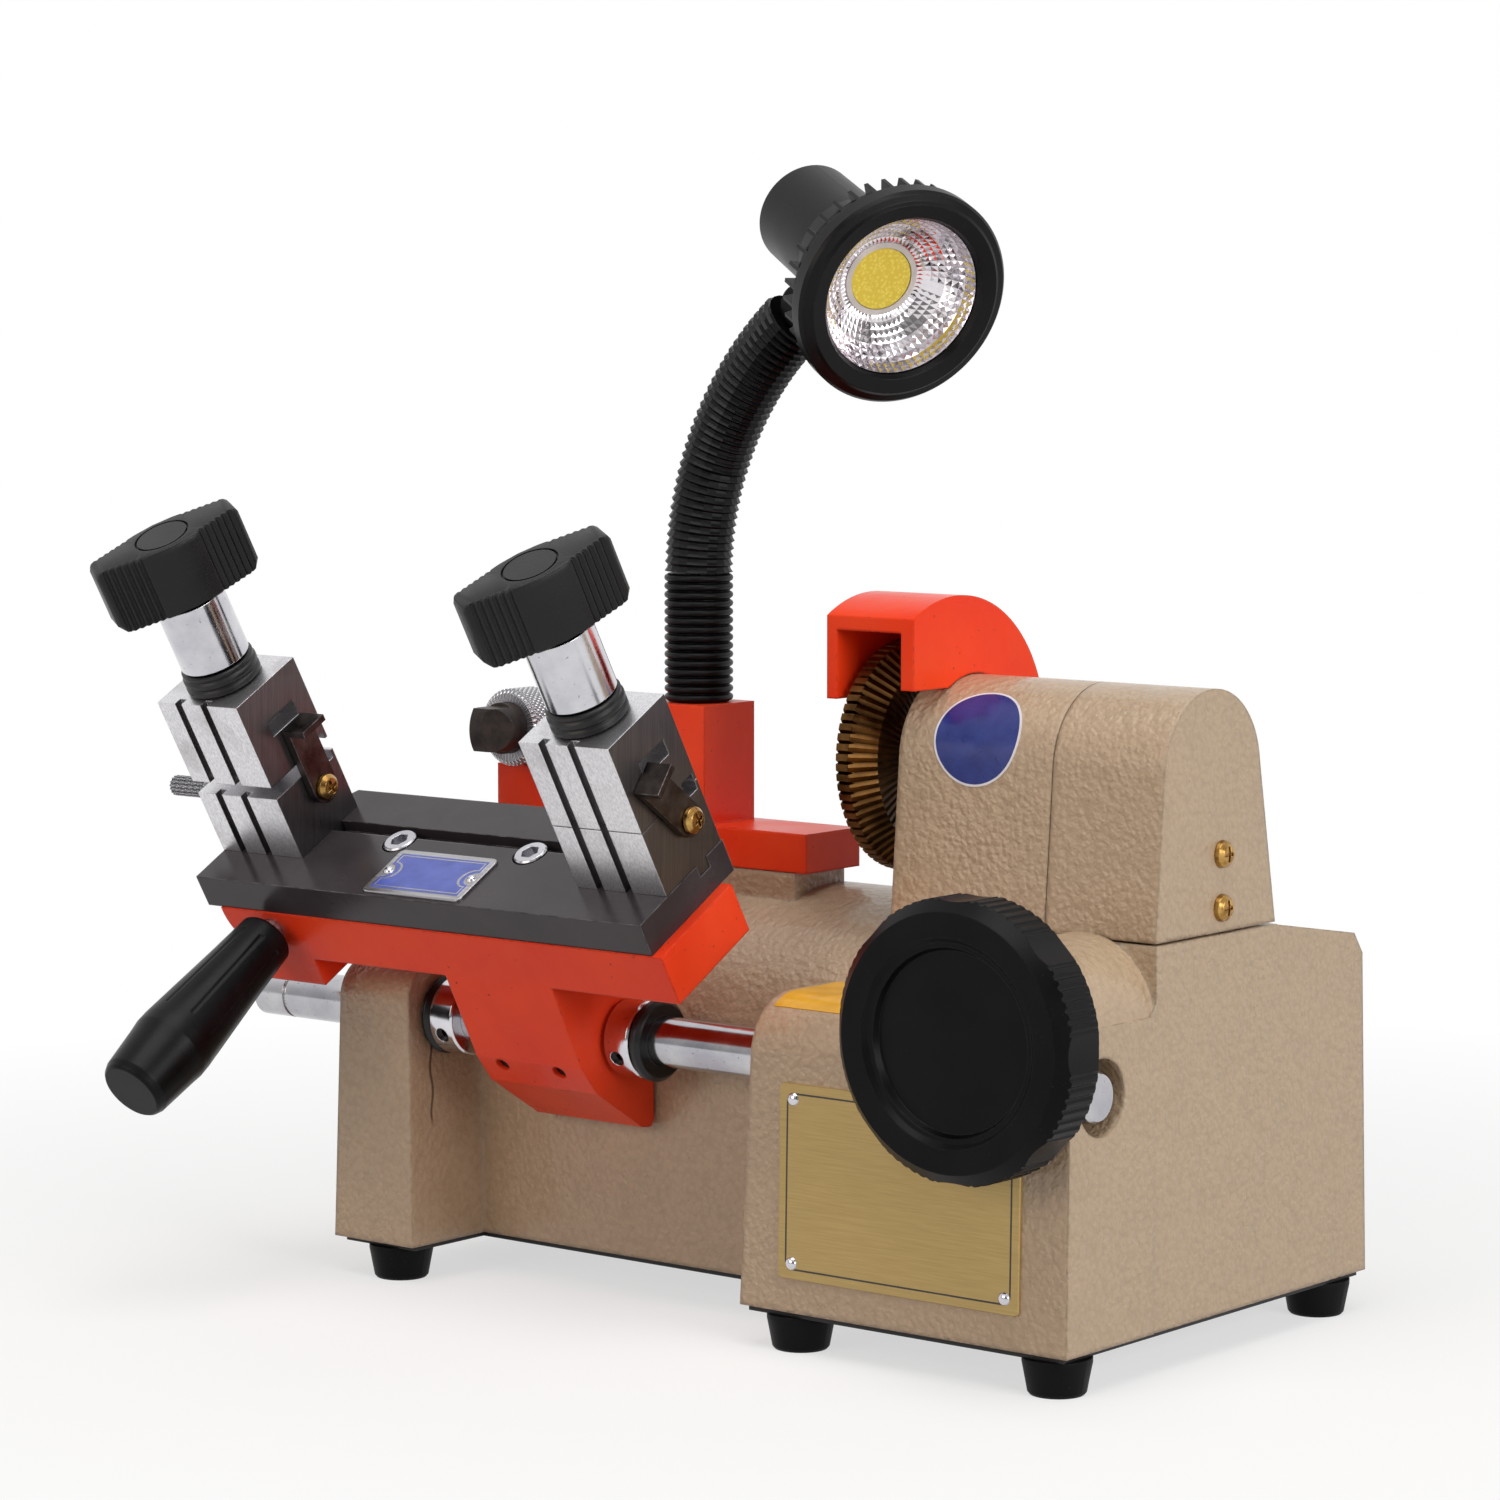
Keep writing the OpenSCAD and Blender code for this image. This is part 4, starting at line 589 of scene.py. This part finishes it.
def dome(bm, radius, height, slot, place):
    """A low rivet head."""
    around, steps = 24, 5
    rings = []
    for k in range(steps):
        t = math.radians(90 * k / steps)
        ring = arc(0, 0, radius * math.cos(t), 0, 360, around)[:around]
        rings.append([bm.verts.new(place @ Vector((x, y, height * math.sin(t)))) for x, y in ring])
    top = bm.verts.new(place @ Vector((0, 0, height)))
    wall(bm, rings, slot)
    for i in range(around):
        bm.faces.new((rings[-1][i], rings[-1][(i + 1) % around], top)).material_index = slot
    bm.faces.new(list(reversed(rings[0]))).material_index = slot


def basis(origin, x, y):
    """Placement matrix with local x and y along the given directions."""
    x = Vector(x).normalized()
    y = Vector(y).normalized()
    turn = Matrix((x, y, x.cross(y))).transposed().to_4x4()
    return Matrix.Translation(origin) @ turn


# ---------------------------------------------------------------- added pieces

MM = 0.001


def turned(bm, profile, place, slot, around):
    """Skin swept round the local Z axis from (radius, height) points in millimetres."""
    rings = []
    for r, z in profile:
        circle = arc(0, 0, r, 0, 360, around)[:around]
        rings.append([bm.verts.new(place @ (Vector((x, y, z)) * MM)) for x, y in circle])
    wall(bm, rings, slot)
    return rings


def make_nameplate():
    """Gold plate on the front of the block: a thin dark line round it and four rivets."""
    x0, x1, z0, z1 = 0.0355, 0.1261, 0.0237, 0.084
    foot_y, foot_z, draft, thick = -0.0815, 0.013, 1.5 / 78.0, 0.0011
    w, h = x1 - x0, z1 - z0
    middle = (z0 + z1) / 2
    y = foot_y + (middle - foot_z) * draft
    place = basis(((x0 + x1) / 2, y + 0.0001, middle), (1, 0, 0), (0, draft, 1))
    bm = bmesh.new()
    slab(bm, rounded(w, h, 0.0015), 0, thick, 0, place, 0.0003)
    outer = rounded(w - 0.0056, h - 0.0056, 0.003)
    inner = rounded(w - 0.0067, h - 0.0067, 0.0026)
    frame_strip(bm, outer, inner, thick - 0.0002, thick + 0.00005, 1, place)
    for sx in (-1, 1):
        for sz in (-1, 1):
            at = (sx * (w / 2 - 0.0052), sz * (h / 2 - 0.0048), thick - 0.0001)
            dome(bm, 0.0021, 0.0013, 2, place @ Matrix.Translation(at))
    piece("nameplate", bm, [gold, plate_ink, chrome], "base", 40)


def head_front(run):
    """Point (y, z) and outward normal on the head's front, a run in metres up from its foot."""
    start = Vector((-0.0352, 0.130))
    tangent = Vector((-0.031169, 0.181047))
    centre = Vector((-0.00525, 0.179))
    radius = 0.026
    straight = (tangent - start).length
    along = (tangent - start) / straight
    if run <= straight:
        return start + along * run, Vector((-along.y, along.x))
    first = math.atan2(tangent.y - centre.y, tangent.x - centre.x)
    angle = first - (run - straight) / radius
    normal = Vector((math.cos(angle), math.sin(angle)))
    return centre + normal * radius, normal


def make_round_sticker():
    """Plain blue disc with a thin white rim, wrapped over the top of the head's front."""
    centre_x, centre_run, film = 0.0715, 0.059, 0.00022
    around, rim, outer = 96, 0.0153, 0.016
    radii = [0.0, 0.003, 0.006, 0.009, 0.012, rim, outer]
    bm = bmesh.new()

    def at(r, a, lift):
        (y, z), n = head_front(centre_run + r * math.sin(a))
        return bm.verts.new((centre_x + r * math.cos(a), y + n.x * lift, z + n.y * lift))

    rings = [[at(r, math.tau * i / around, film) for i in range(around)] for r in radii[1:]]
    rings.append([at(outer, math.tau * i / around, -0.0001) for i in range(around)])
    hub = at(0.0, 0.0, film)
    for i in range(around):
        bm.faces.new((hub, rings[0][i], rings[0][(i + 1) % around]))
    for k, (a, b) in enumerate(zip(rings, rings[1:])):
        for i in range(around):
            j = (i + 1) % around
            bm.faces.new((a[i], b[i], b[j], a[j])).material_index = 1 if k >= len(radii) - 3 else 0
    piece("round_sticker", bm, [blue_film, white_film], "base", 40)


def make_yellow_sticker():
    """Bare yellow strip wrapped over the front top edge of the block."""
    x0, x1, back_y, top_z = 0.0265, 0.062, -0.040, 0.1092
    centre_y, centre_z, radius, film = -0.062, 0.0912, 0.018, 0.00022
    below = -0.0001
    first, steps = 127, 8
    path = []
    for k in range(steps + 1):
        a = math.radians(first - (first - 90) * k / steps)
        path.append((centre_y, centre_z, math.cos(a), math.sin(a)))
    path.append((back_y, top_z - radius, 0.0, 1.0))
    bm = bmesh.new()
    rings = []
    for cy, cz, ny, nz in path:
        ring = []
        for x, lift in ((x0, below), (x1, below), (x1, film), (x0, film)):
            reach = radius + lift
            ring.append(bm.verts.new((x, cy + ny * reach, cz + nz * reach)))
        rings.append(ring)
    wall(bm, rings, 0)
    for ring in (rings[0], rings[-1]):
        bm.faces.new(ring)
    piece("yellow_sticker", bm, [yellow_film], "base", 20)


def notched(w, h, notch):
    """Rectangle with a half-round bite in the middle of each short side."""
    left = arc(-w / 2, 0, notch, -90, 90, 10)
    right = arc(w / 2, 0, notch, 90, 270, 10)
    return left + [(-w / 2, h / 2), (w / 2, h / 2)] + right + [(w / 2, -h / 2), (-w / 2, -h / 2)]


def make_label():
    """Silver plate on the black plate: bare blue field notched round its two rivets."""
    w, h, thick, notch, rivet_x = 0.042, 0.0225, 0.0009, 0.0034, 0.0178
    place = CARRIAGE @ Matrix.Translation((-0.0898, -0.0074, 0.063))
    bm = bmesh.new()
    slab(bm, rounded(w, h, 0.0022), 0, thick, 0, place, 0.0002)
    field = notched(w - 0.0044, h - 0.0044, notch)
    line = notched(w - 0.006, h - 0.006, notch + 0.0008)
    thin = notched(w - 0.0069, h - 0.0069, notch + 0.00125)
    rings = []
    for z in (thick - 0.0003, thick + 0.00004):
        rings.append([bm.verts.new(place @ Vector((x, y, z))) for x, y in field])
    wall(bm, rings, 1)
    for ring in rings:
        bm.faces.new(ring).material_index = 1
    frame_strip(bm, line, thin, thick, thick + 0.00008, 0, place)
    for side in (-1, 1):
        at = (side * rivet_x, 0, thick - 0.0001)
        dome(bm, 0.0017, 0.0012, 2, place @ Matrix.Translation(at))
    piece("label_plate", bm, [machine_steel, label_blue, chrome], "carriage", 40)


def make_reflector():
    """Bright bowl of small bulging facets, closed behind, with the pale ring of the LED."""
    turn, dip = math.radians(-26.1), math.radians(21.2)
    mouth = (0.0205, -0.00125, 0.3224)
    place = (Matrix.Translation(mouth) @ Matrix.Rotation(turn, 4, "Z")
             @ Matrix.Rotation(dip, 4, "Y") @ Matrix.Rotation(-math.pi / 2, 4, "Y"))
    knots = [(12.3, 15.4), (15.0, 14.5), (20.0, 10.8), (24.2, 5.4), (25.9, 0.0)]
    back = [(25.9, 0.0), (26.1, 5.0), (25.2, 6.0), (20.8, 12.0), (15.4, 15.8), (10.5, 16.9),
            (10.5, 15.6)]
    columns, rows, bulge = 60, 9, 0.16
    profile = resample(knots, rows)
    bm = bmesh.new()

    def at(r, z, a):
        return bm.verts.new(place @ (Vector((r * math.cos(a), r * math.sin(a), z)) * MM))

    step = math.tau / columns
    grid = [[at(r, z, step * i) for i in range(columns)] for r, z in profile]
    for k in range(rows):
        (r0, z0), (r1, z1) = profile[k], profile[k + 1]
        length = math.hypot(r1 - r0, z1 - z0)
        inward = ((z1 - z0) / length * bulge, -(r1 - r0) / length * bulge)
        for i in range(columns):
            j = (i + 1) % columns
            middle = at((r0 + r1) / 2 + inward[0], (z0 + z1) / 2 + inward[1], step * (i + 0.5))
            ring = (grid[k][i], grid[k][j], grid[k + 1][j], grid[k + 1][i])
            for q in range(4):
                bm.faces.new((ring[q], ring[(q + 1) % 4], middle))
    turned(bm, back, place, 0, columns)
    turned(bm, [(12.3, 15.4), (12.3, 15.1), (10.5, 15.1), (10.5, 15.6)], place, 1, columns)
    bmesh.ops.remove_doubles(bm, verts=bm.verts, dist=1e-6)
    bowl = piece("reflector_bowl", bm, [silver, led_rim], "lamp")
    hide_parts("lamp_reflector")


def resample(knots, rows):
    """Points at even steps along a polyline."""
    lengths = [math.dist(a, b) for a, b in zip(knots, knots[1:])]
    total = sum(lengths)
    points = []
    for k in range(rows + 1):
        left = total * k / rows
        for (a, b), length in zip(zip(knots, knots[1:]), lengths):
            if left <= length + 1e-9:
                t = left / length
                points.append((a[0] + (b[0] - a[0]) * t, a[1] + (b[1] - a[1]) * t))
                break
            left -= length
    return points


def wing_outline():
    """Wing knob seen from above, in millimetres: scalloped grip down the four long faces."""
    crown, hub, tip, corner = (0.0, 11.5), (7.0, 10.6), (24.0, 5.4), (25.0, 4.4)
    first, pitch, grooves, depth, steps = 9.8, 2.25, 6, 0.75, 8
    slope = (tip[1] - hub[1]) / (tip[0] - hub[0])
    length = math.hypot(1.0, slope)
    normal = (-slope / length, 1.0 / length)
    face = [crown, hub]
    for k in range(grooves * steps + 1):
        x = first + pitch * k / steps
        sink = depth * (0.5 - 0.5 * math.cos(math.tau * k / steps))
        y = hub[1] + slope * (x - hub[0])
        face.append((x - normal[0] * sink, y - normal[1] * sink))
    quarter = face + [tip, corner]
    upper = list(reversed(quarter)) + [(-x, y) for x, y in quarter[1:]]
    return upper + [(-x, -y) for x, y in upper]


def make_wing_knob(name, node, body, x, height):
    """Moulded wing knob with soft edges, a grooved grip and a bare round mark on its crown."""
    stud_y, turn, top = 10.0, math.radians(59), 23.0
    mark_outer, mark_inner, mark_depth = 9.2, 8.4, 0.9
    levels = [(0.0, 23.0, 0.6), (0.6, 23.6, 0.0), (3.2, 26.0, 0.0), (20.8, 26.0, 0.0),
              (22.2, 24.8, 0.0), (22.7, 24.4, 0.25), (top, 24.0, 0.8)]
    place = (CARRIAGE @ Matrix.Translation(Vector((x, stud_y, height)) * MM)
             @ Matrix.Rotation(turn, 4, "Z"))
    outline = wing_outline()
    bm = bmesh.new()
    rings = []
    for z, cap, inset in levels:
        ring = []
        for px, py in outline:
            reach = math.hypot(px, py)
            k = min(1.0, cap / reach) * (1.0 - inset / reach)
            ring.append(bm.verts.new(place @ (Vector((px * k, py * k, z)) * MM)))
        rings.append(ring)
    wall(bm, rings, 0)
    floor = top - mark_depth
    groove = [(mark_outer, top), (mark_outer, floor), (mark_inner, floor), (mark_inner, top)]
    mark = turned(bm, groove, place, 0, 64)
    bm.faces.new(mark[-1])
    bm.faces.new(list(reversed(rings[0])))
    rim = []
    for ring in (rings[-1], mark[0]):
        for i in range(len(ring)):
            pair = (ring[i], ring[(i + 1) % len(ring)])
            rim.append(bm.edges.get(pair) or bm.edges.new(pair))
    bmesh.ops.triangle_fill(bm, use_beauty=True, edges=rim)
    knob = piece(name, bm, [knob_black], body, 38)
    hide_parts(node)


def make_neck_bellows():
    """The bending length of the gooseneck, its shape taken over as a copy with its placement baked
    in.
    """
    mesh = NODES["neck_bend"].data.copy()
    bellows = bpy.data.objects.new("neck_bellows", mesh)
    bpy.context.scene.collection.objects.link(bellows)
    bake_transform(bellows)
    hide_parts("neck_bend")


make_neck_bellows()
make_wing_knob("left_wing_knob", "left_knob", "left_knob_turning", -166.5, 154.1)
make_wing_knob("right_wing_knob", "right_knob", "right_knob_turning", -11.75, 149.8)
make_nameplate()
make_round_sticker()
make_yellow_sticker()
make_label()
make_reflector()


# ---------------------------------------------------------------- floor, world, lamps, camera

def make_stage():
    """Floor that keeps a soft shadow near the machine and is plain white further out."""
    half, near, far, near_share = 6.0, 0.2, 0.62, 0.62
    bm = bmesh.new()
    corners = ((-half, -half), (half, -half), (half, half), (-half, half))
    bm.faces.new([bm.verts.new((x, y, 0)) for x, y in corners])
    mesh = bpy.data.meshes.new("floor")
    bm.to_mesh(mesh)
    bm.free()
    floor = bpy.data.objects.new("floor", mesh)
    bpy.context.scene.collection.objects.link(floor)
    mat = Finish("floor_white", srgb(250, 250, 250), rough=0.9, spec=0.1)
    tone = mat.mix(mat.ramp(mat.noise(3, 2.0), 0.3, 0.7), srgb(249, 249, 249), srgb(252, 252, 252))
    path = mat.node("ShaderNodeLightPath")
    seen = mat.math("MAXIMUM", path.outputs["Is Camera Ray"], path.outputs["Is Glossy Ray"])
    seen = mat.math("MAXIMUM", seen, path.outputs["Is Transmission Ray"])
    reach = mat.node("ShaderNodeVectorMath", operation="LENGTH")
    mat.link(mat.object_coords, reach.inputs[0])
    mat.color(mat.mix(seen, srgb(172, 168, 165), tone))
    white = mat.node("ShaderNodeEmission")
    white.inputs["Color"].default_value = (1, 1, 1, 1)
    white.inputs["Strength"].default_value = 1.0
    blend = mat.node("ShaderNodeMixShader")
    share = mat.ramp(reach.outputs["Value"], near, far, near_share, 1.0)
    mat.link(mat.math("MULTIPLY", seen, share), blend.inputs[0])
    mat.link(mat.shader.outputs[0], blend.inputs[1])
    mat.link(white.outputs[0], blend.inputs[2])
    mat.link(blend.outputs[0], mat.tree.nodes["Material Output"].inputs["Surface"])
    mesh.materials.append(mat.material)


def make_world():
    """White for camera, gloss and glass, with a dimmer room on the front side; soft grey light."""
    ambient, horizon, front = 0.2, 0.22, (0.61, -0.79, 0.0)
    world = bpy.data.worlds.new("studio")
    bpy.context.scene.world = world
    world.use_nodes = True
    tree = world.node_tree

    def node(kind, **settings):
        n = tree.nodes.new(kind)
        for key, value in settings.items():
            setattr(n, key, value)
        return n

    def ramp(value, low, high, to_low, to_high):
        n = node("ShaderNodeMapRange", interpolation_type="SMOOTHSTEP")
        n.inputs["From Min"].default_value = low
        n.inputs["From Max"].default_value = high
        n.inputs["To Min"].default_value = to_low
        n.inputs["To Max"].default_value = to_high
        tree.links.new(value, n.inputs["Value"])
        return n.outputs["Result"]

    def highest(a, b):
        n = node("ShaderNodeMath", operation="MAXIMUM")
        tree.links.new(a, n.inputs[0])
        tree.links.new(b, n.inputs[1])
        return n.outputs[0]

    look = node("ShaderNodeTexCoord").outputs["Generated"]
    toward = node("ShaderNodeVectorMath", operation="DOT_PRODUCT")
    tree.links.new(look, toward.inputs[0])
    toward.inputs[1].default_value = front
    height = node("ShaderNodeSeparateXYZ")
    tree.links.new(look, height.inputs[0])
    behind = ramp(toward.outputs["Value"], -0.25, 0.45, 1.0, horizon)
    above = ramp(height.outputs["Z"], 0.3, 0.85, horizon, 1.0)
    path = node("ShaderNodeLightPath")
    room_level = highest(behind, above)

    soft = tree.nodes["Background"]
    soft.inputs["Color"].default_value = (1.0, 0.97, 0.94, 1)
    soft.inputs["Strength"].default_value = ambient
    mirrored = node("ShaderNodeBackground")
    tree.links.new(room_level, mirrored.inputs["Strength"])
    white = node("ShaderNodeBackground")
    for shader in (mirrored, white):
        shader.inputs["Color"].default_value = (1, 1, 1, 1)
    white.inputs["Strength"].default_value = 1.0

    gloss = highest(path.outputs["Is Glossy Ray"], path.outputs["Is Transmission Ray"])
    first = node("ShaderNodeMixShader")
    tree.links.new(gloss, first.inputs[0])
    tree.links.new(soft.outputs[0], first.inputs[1])
    tree.links.new(mirrored.outputs[0], first.inputs[2])
    second = node("ShaderNodeMixShader")
    tree.links.new(path.outputs["Is Camera Ray"], second.inputs[0])
    tree.links.new(first.outputs[0], second.inputs[1])
    tree.links.new(white.outputs[0], second.inputs[2])
    tree.links.new(second.outputs[0], tree.nodes["World Output"].inputs["Surface"])


def area(name, place, target, size, power, color=(1, 1, 1)):
    """Rectangular lamp aimed at a point."""
    lamp = bpy.data.lights.new(name, "AREA")
    lamp.shape = "RECTANGLE"
    lamp.size, lamp.size_y = size
    lamp.energy = power
    lamp.color = color
    o = bpy.data.objects.new(name, lamp)
    bpy.context.scene.collection.objects.link(o)
    o.location = place
    aim = Vector(target) - Vector(place)
    o.rotation_euler = aim.to_track_quat("-Z", "Y").to_euler()


def make_camera():
    """The photo's camera: 39 degrees round to the right, 5.6 degrees above level."""
    data = bpy.data.cameras.new("camera")
    data.sensor_width = 36.0
    data.lens = 113.04
    data.clip_start = 0.01
    data.clip_end = 50
    camera = bpy.data.objects.new("camera", data)
    bpy.context.scene.collection.objects.link(camera)
    camera.location = (0.9222, -1.19065, 0.325)
    camera.rotation_euler = (math.radians(84.4), 0, math.radians(39))
    bpy.context.scene.camera = camera


make_stage()
make_world()
area("key_right", (2.1, -0.4, 0.72), (0, 0, 0.15), (1.2, 0.9), 25, (1.0, 0.985, 0.96))
area("top_soft", (0.3, -0.5, 2.15), (0, 0, 0.1), (1.5, 1.5), 24)
area("fill_front", (-0.5, -2.1, 0.8), (0, 0, 0.15), (1.4, 1.0), 12.5, (1.0, 0.88, 0.8))
make_camera()
bpy.context.scene.view_settings.view_transform = "Standard"
